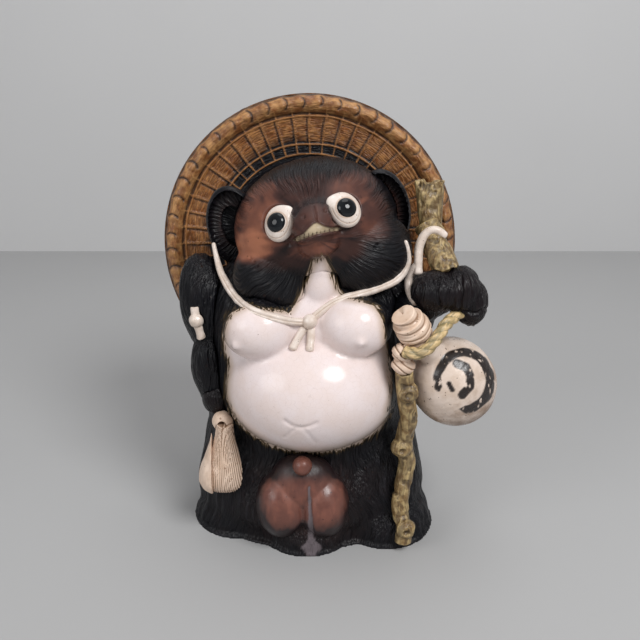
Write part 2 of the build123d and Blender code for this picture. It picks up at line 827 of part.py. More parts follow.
# The staff: the folded wrap below the stopper, the crooked foot and the two upper lengths.
with BuildPart() as staff_wrap:
    wrap_place = on_body(staff_wrap_place_shares)
    for rise in (-staff_wrap_height / 4, staff_wrap_height / 4):
        add(
            ball(
                wrap_place + Vector(0, 0, rise),
                staff_wrap_thickness / 2,
                staff_wrap_thickness / 2,
                staff_wrap_height / 3,
            )
        )
    for other in (body_form, flask_body, flask_stopper, flask_cord):
        add(other.part, mode=Mode.SUBTRACT)
staff_wrap.part.label = "staff_wrap"
export_step(staff_wrap.part, "parts/staff_wrap.step")

with BuildPart() as staff_lower:
    add(strand(staff_lower_shares, staff_thickness))
    for knot in staff_knot_shares:
        add(egg(on_body(knot), (1, 1, 1), staff_knot_radius))
    for knot in staff_knot_shares:
        mouth = on_body(knot) - Vector(0, staff_knot_radius, 0)
        add(egg(mouth, (1, 1, 1), staff_hole_radius), mode=Mode.SUBTRACT)
    for other in (body_form, flask_body, flask_cord, staff_wrap):
        add(other.part, mode=Mode.SUBTRACT)
staff_lower.part.label = "staff_lower"
export_step(staff_lower.part, "parts/staff_lower.step")

with BuildPart() as staff_middle:
    middle_radius = staff_middle_thickness / 2
    add(stick(staff_middle_top_shares, staff_middle_end_shares, middle_radius, middle_radius))
    for other in (body_form, arm_left, paw_left):
        add(other.part, mode=Mode.SUBTRACT)
staff_middle.part.label = "staff_middle"
export_step(staff_middle.part, "parts/staff_middle.step")

top_axis = on_body(staff_top_end_shares) - on_body(staff_top_foot_shares)
with BuildPart() as staff_top:
    add(
        stick(
            staff_top_foot_shares,
            staff_top_end_shares,
            staff_top_thickness / 2,
            staff_top_flare / 2,
        )
    )
    with BuildSketch(Plane(origin=on_body(staff_top_end_shares), z_dir=top_axis)):
        Circle(staff_top_bore / 2)
    extrude(amount=-staff_top_bore_depth, mode=Mode.SUBTRACT)
    for other in (staff_middle, hat_rim, hat):
        add(other.part, mode=Mode.SUBTRACT)
staff_top.part.label = "staff_top"
export_step(staff_top.part, "parts/staff_top.step")

with BuildPart() as tie_loop:
    add(strand(tie_loop_shares, tie_thickness))
    for other in (staff_middle, staff_top, paw_left, arm_left):
        add(other.part, mode=Mode.SUBTRACT)
tie_loop.part.label = "tie_loop"
export_step(tie_loop.part, "parts/tie_loop.step")

with BuildPart() as tie_hanging:
    add(strand(tie_hanging_shares, tie_thickness))
    for other in (body_form, paw_left, arm_left, tie_loop, staff_middle):
        add(other.part, mode=Mode.SUBTRACT)
tie_hanging.part.label = "tie_hanging"
export_step(tie_hanging.part, "parts/tie_hanging.step")

with BuildPart() as sleeve_tie:
    add(strand(sleeve_tie_shares, tie_thickness))
    add(egg(on_body(sleeve_tie_shares[1]), (1, 1, 1), sleeve_knot_radius))
    for other in (body_form, arm_right):
        add(other.part, mode=Mode.SUBTRACT)
sleeve_tie.part.label = "sleeve_tie"
export_step(sleeve_tie.part, "parts/sleeve_tie.step")

# The account book: a fan of leaves, a cover on its outer side and the bored knot that ties it.
book_foot = Plane(Location(on_body(book_place_shares), (0, book_lean, 0)))


def book_form(grown):
    """The bundle of leaves, thickened all round by a wall for the cover."""
    with BuildPart() as leaves:
        for height, width, depth in book_row_shares:
            with BuildSketch(book_foot.offset(height * book_length)):
                Ellipse(
                    width * book_foot_half_width + grown, depth * book_half_thickness + grown
                )
        with BuildSketch(book_foot.offset(book_length)):
            Circle(book_top_half_width + grown)
        loft()
    return leaves.part


with BuildPart() as account_book:
    add(book_form(0))
    for other in (body_form, paw_right):
        add(other.part, mode=Mode.SUBTRACT)
account_book.part.label = "account_book"
export_step(account_book.part, "parts/account_book.step")

cover_edge = book_foot.origin.X - book_cover_side_share * book_foot_half_width
with BuildPart() as book_cover:
    add(book_form(book_cover_wall))
    add(account_book.part, mode=Mode.SUBTRACT)
    for other in (body_form, paw_right, arm_right):
        add(other.part, mode=Mode.SUBTRACT)
    split(bisect_by=Plane.YZ.offset(cover_edge), keep=Keep.BOTTOM)
book_cover.part.label = "book_cover"
export_step(book_cover.part, "parts/book_cover.step")

with BuildPart() as book_knot:
    knot_place = on_body(book_knot_place_shares)
    add(egg(knot_place, (1, 1, 1), book_knot_radius))
    with BuildSketch(Plane.XZ.offset(-knot_place.Y)):
        with Locations((knot_place.X, knot_place.Z)):
            Circle(book_knot_bore / 2)
    extrude(amount=book_knot_radius + overrun, both=True, mode=Mode.SUBTRACT)
    for other in (body_form, paw_right, arm_right, account_book, book_cover):
        add(other.part, mode=Mode.SUBTRACT)
book_knot.part.label = "book_knot"
export_step(book_knot.part, "parts/book_knot.step")
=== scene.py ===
# %% [markdown]
# # A stoneware raccoon dog with a straw hat
# The real figure is built from pressed shells, turned forms and rolled strings of coarse clay. They are
# luted together with slip, combed while soft, painted with white, brown and black slips, and fired once.
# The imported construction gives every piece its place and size. This lesson lays a modelled and glazed
# skin over each piece, in the same place, so that the figure keeps its measured shape.

import math

import bmesh
import bpy
import numpy as np
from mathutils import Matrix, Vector


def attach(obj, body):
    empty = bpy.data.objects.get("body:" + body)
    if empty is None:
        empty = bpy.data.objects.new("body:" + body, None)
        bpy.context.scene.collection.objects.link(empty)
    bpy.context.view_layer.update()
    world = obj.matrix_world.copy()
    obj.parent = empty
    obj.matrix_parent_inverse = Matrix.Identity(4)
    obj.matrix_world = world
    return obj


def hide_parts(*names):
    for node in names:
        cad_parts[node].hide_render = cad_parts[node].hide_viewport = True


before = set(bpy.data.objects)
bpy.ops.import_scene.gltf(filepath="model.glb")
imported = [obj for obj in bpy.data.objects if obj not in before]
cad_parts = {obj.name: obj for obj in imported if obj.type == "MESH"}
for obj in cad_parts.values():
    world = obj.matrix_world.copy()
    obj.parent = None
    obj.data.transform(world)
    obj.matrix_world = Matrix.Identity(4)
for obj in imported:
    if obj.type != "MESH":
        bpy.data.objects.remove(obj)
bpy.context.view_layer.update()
scene = bpy.context.scene
MM = 0.001
MIDDLE = np.array((-12.0, 8.2, 0.0))
print("construction pieces:", len(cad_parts))

# %% [markdown]
# ## The camera first
# The photograph looks down on the figure by 21 degrees, from about 0.7 m away. Places on
# the figure are given from its own middle line, in millimetres. Because the camera is known, a mark that
# is easy to find in the photograph can be put on the clay by the spot where it is seen in the frame.

# %% Set up the camera
def spot(*place):
    """A place given from the figure's middle line in millimetres, in the frame's metres."""
    return (MIDDLE + np.array(place, float)) * MM


EYE = spot(9.0, -652.0, 425.0)
LOOK_DOWN = math.radians(21.0)
FRAME_HALF = 320.0
FOCAL = 800.0
camera = bpy.data.objects.new("camera", bpy.data.cameras.new("camera"))
camera.location = EYE
camera.rotation_euler = (math.pi / 2 - LOOK_DOWN, 0, 0)
camera.data.sensor_width = 36.0
camera.data.lens = 36.0 * FOCAL / (2 * FRAME_HALF)
scene.collection.objects.link(camera)
scene.camera = camera


def seen_at(points):
    """Where points in the frame's metres are seen in the 640 by 640 photograph."""
    reach = points - EYE
    depth = reach[:, 1] * math.cos(LOOK_DOWN) - reach[:, 2] * math.sin(LOOK_DOWN)
    rise = reach[:, 1] * math.sin(LOOK_DOWN) + reach[:, 2] * math.cos(LOOK_DOWN)
    across = FRAME_HALF + FOCAL * reach[:, 0] / depth
    down = FRAME_HALF - FOCAL * rise / depth
    return np.stack([across, down], axis=1)


print("lens", round(camera.data.lens, 1), "mm")

# %% [markdown]
# ## Helpers for shaping clay
# The clay forms start as a copy of their solids, remeshed into one even skin, which rounds off the
# luted joints as slip does. After that, marks are pressed into the skin by moving its points along their
# normals. Soft noise, distances to drawn lines and the distance to an outline say how far.

# %% Read and write a mesh as arrays
def points_of(mesh):
    """The mesh's points as an array in metres."""
    flat = np.zeros(len(mesh.vertices) * 3)
    mesh.vertices.foreach_get("co", flat)
    return flat.reshape(-1, 3)


def put_points(mesh, points):
    """Moves the mesh's points to an array of places."""
    mesh.vertices.foreach_set("co", points.ravel())
    mesh.update()


def normals_of(mesh):
    """The direction out of the clay at each point."""
    flat = np.zeros(len(mesh.vertices) * 3)
    mesh.vertex_normals.foreach_get("vector", flat)
    return flat.reshape(-1, 3)


def neighbour_means(mesh, values):
    """The mean of each point's neighbours, for one or more values a point."""
    ends = np.zeros(len(mesh.edges) * 2, np.int64)
    mesh.edges.foreach_get("vertices", ends)
    first, second = ends.reshape(-1, 2).T
    count = np.bincount(first, minlength=len(values)) + np.bincount(second, minlength=len(values))
    sums = [
        np.bincount(first, values[:, k][second], len(values))
        + np.bincount(second, values[:, k][first], len(values))
        for k in range(values.shape[1])
    ]
    return np.stack(sums, axis=1) / np.maximum(count, 1)[:, None]


def relax(mesh, rounds, hold=None):
    """Smooths a skin by drawing each point towards its neighbours. Points in hold stay."""
    points = points_of(mesh)
    for _ in range(rounds):
        moved = 0.5 * points + 0.5 * neighbour_means(mesh, points)
        points = moved if hold is None else np.where(hold[:, None], points, moved)
    put_points(mesh, points)


def note(mesh, name, values):
    """Keeps one number a point on the mesh, for its finish to read."""
    layer = mesh.attributes.new(name, "FLOAT", "POINT")
    layer.data.foreach_set("value", np.asarray(values, np.float32))


def note_flow(mesh, flow):
    """Keeps the combing direction as a place a point, in which the third number runs along a stroke."""
    layer = mesh.attributes.new("comb", "FLOAT_VECTOR", "POINT")
    layer.data.foreach_set("vector", np.asarray(flow, np.float32).ravel())


def look_at(mesh):
    """A skin's points, where each is seen in the photograph, and which of them face it."""
    points = points_of(mesh)
    return points, seen_at(points), np.einsum("ij,ij->i", normals_of(mesh), EYE - points) > 0


print("a comb's flow and plain numbers are kept on each point")

# %% [markdown]
# Clay is never quite even, so soft noise goes into nearly every mark. The noise is worked out from whole
# numbers, which gives the same lumps in each run. Grooves and dimples are drawn where the photograph shows
# them, as lines and places in its frame.

# %% Soft noise and drawn marks
def step_up(low, high, values):
    """A soft step from 0 at low to 1 at high."""
    share = np.clip((values - low) / (high - low), 0.0, 1.0)
    return share * share * (3 - 2 * share)


def clouds(points, size, seed=0):
    """Soft lumps from 0 to 1 about size apart, where size may differ along each axis."""
    scaled = points / np.asarray(size)
    base = np.floor(scaled).astype(np.int64)
    part = scaled - base
    part = part * part * (3 - 2 * part)
    total = np.zeros(len(points))
    for corner in range(8):
        step = np.array((corner & 1, corner >> 1 & 1, corner >> 2 & 1))
        weight = np.prod(np.where(step, part, 1 - part), axis=1)
        cell = base + step
        mixed = cell[:, 0] * 374761393 + cell[:, 1] * 668265263 + cell[:, 2] * 1442695041 + seed * 97
        mixed = (mixed ^ (mixed >> 13)) * 1274126177 & 0xFFFFFFFF
        total += weight * ((mixed ^ (mixed >> 16)) & 0xFFFF) / 65535.0
    return total


def to_line(marks, line):
    """How far each mark in the photograph's frame is from a drawn line, in pixels."""
    line = np.asarray(line, float)
    nearest = np.full(len(marks), 1e9)
    for start, end in zip(line, line[1:]):
        run = end - start
        share = np.clip(((marks - start) @ run) / max(run @ run, 1e-9), 0, 1)
        nearest = np.minimum(nearest, np.linalg.norm(marks - start - share[:, None] * run, axis=1))
    return nearest


def within(marks, outline):
    """Signed pixels to an outline in the photograph's frame, positive inside."""
    outline = np.asarray(outline, float)
    closed = np.vstack([outline, outline[:1]])
    inside = np.zeros(len(marks), bool)
    for (x0, y0), (x1, y1) in zip(closed, closed[1:]):
        crosses = (y0 > marks[:, 1]) != (y1 > marks[:, 1])
        if y1 != y0:
            inside ^= crosses & (marks[:, 0] < x0 + (marks[:, 1] - y0) * (x1 - x0) / (y1 - y0))
    return np.where(inside, 1.0, -1.0) * to_line(marks, closed)


def groove(marks, line, width):
    """1 on a line drawn in the photograph's frame, falling softly to 0 beside it."""
    return np.exp(-((to_line(marks, line) / width) ** 2))


def dimple(marks, place, width):
    """1 at a place in the photograph's frame, falling softly to 0 round it."""
    return np.exp(-((np.linalg.norm(marks - place, axis=1) / width) ** 2))


def soft_oval(marks, middle, half):
    """1 in the middle of an oval of the photograph's frame, falling softly to 0 round it."""
    return np.exp(-(((np.asarray(marks) - middle) / half) ** 2).sum(axis=1))


print("noise at one place:", clouds(np.zeros((1, 3)), 1.0))

# %% [markdown]
# A skin starts as a copy of the solids, welded, and remeshed in small even cells. Wear is measured on the
# finished skin: a point that stands above the mean of its neighbours is an edge, where glaze runs thin. The
# same number also places painted sheen and painted shade, and the hat adds painted shadow to it.

# %% Make pieces
WELD = 0.002 * MM
WEAR_ROUNDS = 3
WEAR_REACH = 0.35


def place_piece(name, mesh, *nodes, slot=None):
    """Puts a finished mesh in the scene in place of its construction nodes, shaded smooth."""
    piece = bpy.data.objects.new(name, mesh)
    scene.collection.objects.link(piece)
    for face in mesh.polygons:
        face.use_smooth = True
    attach(piece, "root")
    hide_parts(*nodes)
    return piece


def live_mesh(piece):
    """The mesh of a piece with its modifiers or its curve worked out."""
    graph = bpy.context.evaluated_depsgraph_get()
    return bpy.data.meshes.new_from_object(piece.evaluated_get(graph))


def skin_over(name, nodes, cell, rounds):
    """One even mesh over the solids of some nodes, its cells about this many millimetres wide."""
    form = bmesh.new()
    for node in nodes:
        form.from_mesh(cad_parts[node].data)
    bmesh.ops.remove_doubles(form, verts=form.verts, dist=WELD)
    mesh = bpy.data.meshes.new(name)
    form.to_mesh(mesh)
    form.free()
    block = bpy.data.objects.new(name, mesh)
    scene.collection.objects.link(block)
    remesh = block.modifiers.new("skin", "REMESH")
    remesh.mode = "VOXEL"
    remesh.voxel_size = cell * MM
    skin = live_mesh(block)
    bpy.data.objects.remove(block)
    relax(skin, rounds)
    skin.name = name
    return skin


def split_finer(mesh, chosen):
    """Divides the faces whose points are all chosen, for detail finer than the skin's cells."""
    form = bmesh.new()
    form.from_mesh(mesh)
    form.verts.ensure_lookup_table()
    faces = [face for face in form.faces if all(chosen[v.index] for v in face.verts)]
    edges = list({edge for face in faces for edge in face.edges})
    bmesh.ops.subdivide_edges(form, edges=edges, cuts=1, use_grid_fill=True)
    form.to_mesh(mesh)
    form.free()


def press(mesh, depth):
    """Moves points into the clay by a depth in millimetres each, or out of it where that is negative."""
    put_points(mesh, points_of(mesh) - normals_of(mesh) * (np.asarray(depth)[:, None] * MM))


def wear_of(mesh):
    """How proud of its surroundings each point stands, from -1 in a groove to 1 on an edge."""
    points = points_of(mesh)
    mean = points
    for _ in range(WEAR_ROUNDS):
        mean = neighbour_means(mesh, mean)
    out = np.einsum("ij,ij->i", points - mean, normals_of(mesh)) / MM
    return np.clip(out / WEAR_REACH, -1, 1)


print("an edge is full at", WEAR_REACH, "mm above its neighbours")

# %% [markdown]
# ## Shared finishes
# Three effects come back on most pieces: the strokes of the comb, the kiln's uneven colour, and the fine
# crackle and pinholes of a thick glaze. Each is a shader group with named inputs, built once. A material
# then mixes its own colours with them. The strokes follow the combing direction kept on each mesh, so
# they run the way that the potter's comb went.

# %% Wiring helpers
def put_node(tree, kind, **settings):
    """Adds a shader node and sets its properties."""
    node = tree.nodes.new(kind)
    for name, value in settings.items():
        setattr(node, name, value)
    return node


def wire(tree, source, target):
    """Feeds a socket from another socket, or sets it to a number or a colour."""
    if isinstance(source, bpy.types.NodeSocket):
        tree.links.new(source, target)
    elif isinstance(source, tuple) and len(source) == 3 and target.type == "RGBA":
        target.default_value = (*source, 1.0)
    else:
        target.default_value = source


def maths(tree, operation, *terms):
    """One sum on two or three sockets or numbers."""
    node = put_node(tree, "ShaderNodeMath", operation=operation)
    for term, socket in zip(terms, node.inputs):
        wire(tree, term, socket)
    return node.outputs[0]


def soft_step(tree, value, low, high, start=0.0, end=1.0):
    """A soft step from start to end as the value goes from low up to high."""
    node = put_node(tree, "ShaderNodeMapRange", interpolation_type="SMOOTHSTEP")
    for name, source in zip(
        ("Value", "From Min", "From Max", "To Min", "To Max"), (value, low, high, start, end)
    ):
        wire(tree, source, node.inputs[name])
    return node.outputs["Result"]


def tint(tree, share, low, high):
    """Mixes two colours by a share."""
    node = put_node(tree, "ShaderNodeMix", data_type="RGBA")
    wire(tree, share, node.inputs["Factor"])
    wire(tree, low, node.inputs[6])
    wire(tree, high, node.inputs[7])
    return node.outputs[2]


def lumps(tree, place, scale, detail=2.0, roughness=0.5):
    """Soft noise about one scaled unit across."""
    node = put_node(tree, "ShaderNodeTexNoise")
    wire(tree, place, node.inputs["Vector"])
    wire(tree, scale, node.inputs["Scale"])
    node.inputs["Detail"].default_value = detail
    node.inputs["Roughness"].default_value = roughness
    return node.outputs["Fac"]


def noted(tree, name):
    """A number kept on the mesh."""
    return put_node(tree, "ShaderNodeAttribute", attribute_name=name).outputs["Fac"]


def new_group(name, takes, gives):
    """An empty shader group with its inputs and outputs."""
    group = bpy.data.node_groups.new(name, "ShaderNodeTree")
    for socket, kind, value in takes:
        made = group.interface.new_socket(socket, in_out="INPUT", socket_type=kind)
        if value is not None:
            made.default_value = value
    for socket in gives:
        group.interface.new_socket(socket, in_out="OUTPUT", socket_type="NodeSocketFloat")
    inside = put_node(group, "NodeGroupInput").outputs
    outside = put_node(group, "NodeGroupOutput").inputs
    return group, inside, outside


NUMBER = "NodeSocketFloat"
PLACE = "NodeSocketVector"
PER_METRE = 1000.0
print("wiring helpers ready, with", len(bpy.data.node_groups), "groups so far")

# %% [markdown]
# ### The comb
# Clay fur is drawn with a toothed comb. The group stretches soft noise along the stroke, so that one number,
# the pitch, sets how far apart the teeth are, and another says how many pitches long a stroke is.

# %% The comb's strokes
COMB_PITCH = 1.8
COMB_LENGTH = 11.0
comb_group, given, made = new_group(
    "comb_strokes",
    (("Comb", PLACE, None), ("Pitch", NUMBER, COMB_PITCH), ("Length", NUMBER, COMB_LENGTH)),
    ("Stroke",),
)
per_metre = maths(comb_group, "DIVIDE", PER_METRE, given["Pitch"])
along = maths(comb_group, "DIVIDE", per_metre, given["Length"])
stretch = put_node(comb_group, "ShaderNodeCombineXYZ")
for axis, source in enumerate((per_metre, per_metre, along)):
    wire(comb_group, source, stretch.inputs[axis])
stretched = put_node(comb_group, "ShaderNodeVectorMath", operation="MULTIPLY")
wire(comb_group, given["Comb"], stretched.inputs[0])
wire(comb_group, stretch.outputs[0], stretched.inputs[1])
stroke_noise = lumps(comb_group, stretched.outputs[0], 1.0, 1.6, 0.55)
wire(comb_group, soft_step(comb_group, stroke_noise, 0.36, 0.64), made["Stroke"])
print("comb strokes:", len(comb_group.nodes), "nodes")

# %% [markdown]
# ### The kiln
# Flame and ash leave each glaze a little darker here and lighter there, and grains of iron in the clay
# melt through as brown specks. The group gives both as masks, sized in millimetres.

# %% The kiln's uneven colour and its iron specks
blush_group, given, made = new_group(
    "kiln_blush",
    (("Place", PLACE, None), ("Size", NUMBER, 14.0)),
    ("Blush", "Speck"),
)
per_metre = maths(blush_group, "DIVIDE", PER_METRE, given["Size"])
blush_noise = lumps(blush_group, given["Place"], per_metre, 5.0, 0.62)
wire(blush_group, soft_step(blush_group, blush_noise, 0.34, 0.66), made["Blush"])
specks = put_node(blush_group, "ShaderNodeTexVoronoi", feature="F1")
wire(blush_group, given["Place"], specks.inputs["Vector"])
wire(blush_group, maths(blush_group, "MULTIPLY", per_metre, 5.0), specks.inputs["Scale"])
speck_pick = lumps(blush_group, given["Place"], maths(blush_group, "MULTIPLY", per_metre, 2.6), 1.0)
speck_size = soft_step(blush_group, speck_pick, 0.52, 0.72, 0.02, 0.30)
speck_mask = soft_step(
    blush_group, maths(blush_group, "SUBTRACT", speck_size, specks.outputs["Distance"]), -0.02, 0.06
)
wire(blush_group, speck_mask, made["Speck"])
print("kiln blush:", len(blush_group.nodes), "nodes")

# %% [markdown]
# ### Crackle
# A thick white slip shrinks more than the clay under it and cracks into cells. Gas leaves pinholes in it.
# The cell edges of one noise give the cracks, and small balls at the cells of another give the holes.

# %% Crackle and pinholes of a thick glaze
CRACK_BEND = (0.004, 0.004, 0.004)
crackle_group, given, made = new_group(
    "glaze_crackle",
    (("Place", PLACE, None), ("Cell", NUMBER, 6.0)),
    ("Crack", "Pinhole"),
)
per_metre = maths(crackle_group, "DIVIDE", PER_METRE, given["Cell"])
bend = put_node(crackle_group, "ShaderNodeTexNoise")
wire(crackle_group, given["Place"], bend.inputs["Vector"])
wire(crackle_group, maths(crackle_group, "MULTIPLY", per_metre, 0.7), bend.inputs["Scale"])
bent = put_node(crackle_group, "ShaderNodeVectorMath", operation="MULTIPLY_ADD")
wire(crackle_group, bend.outputs["Color"], bent.inputs[0])
bent.inputs[1].default_value = CRACK_BEND
wire(crackle_group, given["Place"], bent.inputs[2])
cells = put_node(crackle_group, "ShaderNodeTexVoronoi", feature="DISTANCE_TO_EDGE")
wire(crackle_group, bent.outputs[0], cells.inputs["Vector"])
wire(crackle_group, per_metre, cells.inputs["Scale"])
wire(crackle_group, soft_step(crackle_group, cells.outputs["Distance"], 0.0, 0.03, 1.0, 0.0), made["Crack"])
holes = put_node(crackle_group, "ShaderNodeTexVoronoi", feature="F1")
wire(crackle_group, given["Place"], holes.inputs["Vector"])
wire(crackle_group, maths(crackle_group, "MULTIPLY", per_metre, 1.1), holes.inputs["Scale"])
hole_pick = lumps(crackle_group, given["Place"], maths(crackle_group, "MULTIPLY", per_metre, 0.45), 2.0)
hole_size = soft_step(crackle_group, hole_pick, 0.50, 0.75, 0.0, 0.10)
hole_mask = soft_step(
    crackle_group, maths(crackle_group, "SUBTRACT", hole_size, holes.outputs["Distance"]), 0.0, 0.03
)
wire(crackle_group, hole_mask, made["Pinhole"])
print("glaze crackle:", len(crackle_group.nodes), "nodes")

# %% [markdown]
# ## Glazes
# Each glaze is a Principled shader with a colour, a roughness and a bump that change over the surface.
# The black slip over brown clay lets the brown through on the face, where it was rubbed thin. The white
# slip is thick and glossy, and a brown halo of short brush spikes lies where it meets the fur.

# %% Start a glaze
def new_glaze(name):
    """A new material, with its node tree, its shader and the place on the piece."""
    glaze = bpy.data.materials.new(name)
    glaze.use_nodes = True
    tree = glaze.node_tree
    shader = tree.nodes["Principled BSDF"]
    place = put_node(tree, "ShaderNodeTexCoord").outputs["Object"]
    return glaze, tree, shader, place


def use_group(tree, group, **inputs):
    """Places a shared group in a material with its own values."""
    node = put_node(tree, "ShaderNodeGroup", node_tree=group)
    for name, source in inputs.items():
        wire(tree, source, node.inputs[name])
    return node.outputs


def raise_relief(tree, shader, height, distance):
    """Turns a height into the shader's normal, with its distance in millimetres."""
    bump = put_node(tree, "ShaderNodeBump")
    bump.inputs["Strength"].default_value = 1.0
    bump.inputs["Distance"].default_value = distance * MM
    wire(tree, height, bump.inputs["Height"])
    wire(tree, bump.outputs[0], shader.inputs["Normal"])


def combing(tree, pitch, length=COMB_LENGTH):
    """The comb's strokes along the direction kept on the mesh."""
    flow = put_node(tree, "ShaderNodeAttribute", attribute_name="comb").outputs["Vector"]
    return use_group(tree, comb_group, Comb=flow, Pitch=pitch, Length=length)["Stroke"]


PINHOLE_BROWN = (0.10, 0.05, 0.035)
STAIN_REACH = 9.0


def white_slip_colour(tree, place, edge):
    """White slip that is stained near its edge, with crackle and pinholes. Gives colour and relief."""
    blush = use_group(tree, blush_group, Place=place, Size=26.0)
    crackle = use_group(tree, crackle_group, Place=place, Cell=4.5)
    clean = tint(tree, maths(tree, "MULTIPLY", blush["Blush"], 0.5), (0.80, 0.70, 0.69), (0.74, 0.60, 0.54))
    stained = tint(tree, soft_step(tree, edge, 0.0, STAIN_REACH, 0.75, 0.0), clean, (0.46, 0.34, 0.24))
    lined = tint(tree, maths(tree, "MULTIPLY", crackle["Crack"], 0.16), stained, (0.36, 0.25, 0.20))
    spotted = tint(tree, maths(tree, "MULTIPLY", crackle["Pinhole"], 0.75), lined, PINHOLE_BROWN)
    return spotted, maths(tree, "MULTIPLY_ADD", crackle["Pinhole"], -0.5, 0.5)


print("the slip is stained up to", STAIN_REACH, "pixels from its edge")

# %% [markdown]
# ### Combed fur
# The black glaze over the fur is thin where the potter wiped it, and the brown clay glows through on the
# face. One rule serves the body, the limbs, the face and the ears. The numbers kept on each mesh say where
# it is brown, smooth, white, grey or bone.

# %% The combed fur glaze, with brown rubbed through it and white slip beside it
BLUE_BLACK = (0.0045, 0.0045, 0.0065, 1)
WIPED_BROWN = (0.42, 0.165, 0.092, 1)
BROWN_STOPS = (
    (0.25, (0.016, 0.009, 0.009, 1)),
    (0.55, (0.066, 0.028, 0.022, 1)),
    (0.8, (0.185, 0.070, 0.044, 1)),
)
STROKE_BLACK = (0.003, 0.003, 0.004)
# The pale bluish grey of the painted sheen on proud strokes.
SHEEN_BLUE_GREY = (0.045, 0.045, 0.056)
IRON_SPECK = (0.02, 0.008, 0.005)
HALO_OCHRE = (0.115, 0.075, 0.030)
TRICKLE_GREY = (0.15, 0.125, 0.135)
BONE = ((0.46, 0.37, 0.25), (0.24, 0.18, 0.11))
FUR_RELIEF = 0.9
FUR_GLOSS = 0.23


def brown_ramp(tree, warm, blush):
    """From the black glaze to the wiped brown clay as the mesh's warm number goes from 0 to 1."""
    ramp = put_node(tree, "ShaderNodeValToRGB")
    amount = maths(tree, "MULTIPLY_ADD", blush, 0.10, maths(tree, "SUBTRACT", warm, 0.05))
    wire(tree, amount, ramp.inputs["Fac"])
    stops = ramp.color_ramp.elements
    stops[0].color = BLUE_BLACK
    stops[1].color = WIPED_BROWN
    for share, colour in BROWN_STOPS:
        stops.new(share).color = colour
    return ramp.outputs["Color"]


def add_white_slip(tree, shader, place, blush, fur, stroke, relief):
    """Paints white slip over the fur, ragged along the strokes, with its halo, the trickle and the teeth."""
    slip = noted(tree, "slip")
    ragged = maths(tree, "MULTIPLY_ADD", stroke, 6.0, maths(tree, "SUBTRACT", slip, 3.6))
    halo = soft_step(tree, ragged, -4.5, 0.5)
    white = soft_step(tree, ragged, -0.6, 1.0)
    colour, slip_relief = white_slip_colour(tree, place, slip)
    fringed = tint(tree, maths(tree, "MULTIPLY", halo, 0.85), fur, HALO_OCHRE)
    painted = tint(tree, white, fringed, colour)
    trickled = tint(tree, maths(tree, "MULTIPLY", noted(tree, "drip"), 0.85), painted, TRICKLE_GREY)
    bone = tint(tree, blush["Blush"], *BONE)
    wire(tree, tint(tree, noted(tree, "tooth"), trickled, bone), shader.inputs["Base Color"])
    wire(tree, soft_step(tree, white, 0.0, 1.0, 0.40, 0.15), shader.inputs["Roughness"])
    height = put_node(tree, "ShaderNodeMix", data_type="FLOAT")
    wire(tree, white, height.inputs[0])
    wire(tree, relief, height.inputs[2])
    wire(tree, slip_relief, height.inputs[3])
    raise_relief(tree, shader, height.outputs[0], FUR_RELIEF)


def fur_glaze(name, pitch, with_slip):
    """Blue-black combed fur, brown where the mesh says warm, white, grey or bone where it says so."""
    glaze, tree, shader, place = new_glaze(name)
    blush = use_group(tree, blush_group, Place=place, Size=22.0)
    coarse = maths(tree, "MULTIPLY", combing(tree, pitch * 2.3), 0.4)
    stroke = maths(tree, "MULTIPLY_ADD", combing(tree, pitch), 0.6, coarse)
    smooth = noted(tree, "smooth")
    relief = maths(tree, "MULTIPLY", stroke, maths(tree, "SUBTRACT", 1.0, smooth))
    brown = brown_ramp(tree, noted(tree, "warm"), blush["Blush"])
    stroked = tint(tree, soft_step(tree, stroke, 0.0, 1.0, 0.55, 0.0), brown, STROKE_BLACK)
    wiped = tint(tree, smooth, stroked, brown)
    # Painted sheen: proud strokes are tinted bluish grey, standing in for a highlight on the glaze.
    sheen = maths(tree, "MULTIPLY", soft_step(tree, noted(tree, "wear_and_shading"), 0.2, 1.0), 0.20)
    sheened = tint(tree, maths(tree, "MULTIPLY", sheen, blush["Blush"]), wiped, SHEEN_BLUE_GREY)
    fur = tint(tree, maths(tree, "MULTIPLY", blush["Speck"], 0.5), sheened, IRON_SPECK)
    shader.inputs["Specular IOR Level"].default_value = FUR_GLOSS
    if with_slip:
        add_white_slip(tree, shader, place, blush, fur, stroke, relief)
    else:
        wire(tree, fur, shader.inputs["Base Color"])
        wire(tree, soft_step(tree, stroke, 0.0, 1.0, 0.42, 0.28), shader.inputs["Roughness"])
        raise_relief(tree, shader, relief, FUR_RELIEF)
    return glaze


body_glaze = fur_glaze("body_glaze", 1.7, True)
dark_glaze = fur_glaze("dark_glaze", 1.6, False)
face_glaze = fur_glaze("face_glaze", 1.25, True)
ear_glaze = fur_glaze("ear_glaze", 1.1, False)
print("fur glazes:", len(bpy.data.materials))

# %% [markdown]
# ### Slip on small pieces
# The cords and the eyes were dipped in the same pale slip. It runs off the edges and gathers brown in the
# hollows, so the stain reads the wear kept on each mesh. The eye's bead is a drop of glassy black.

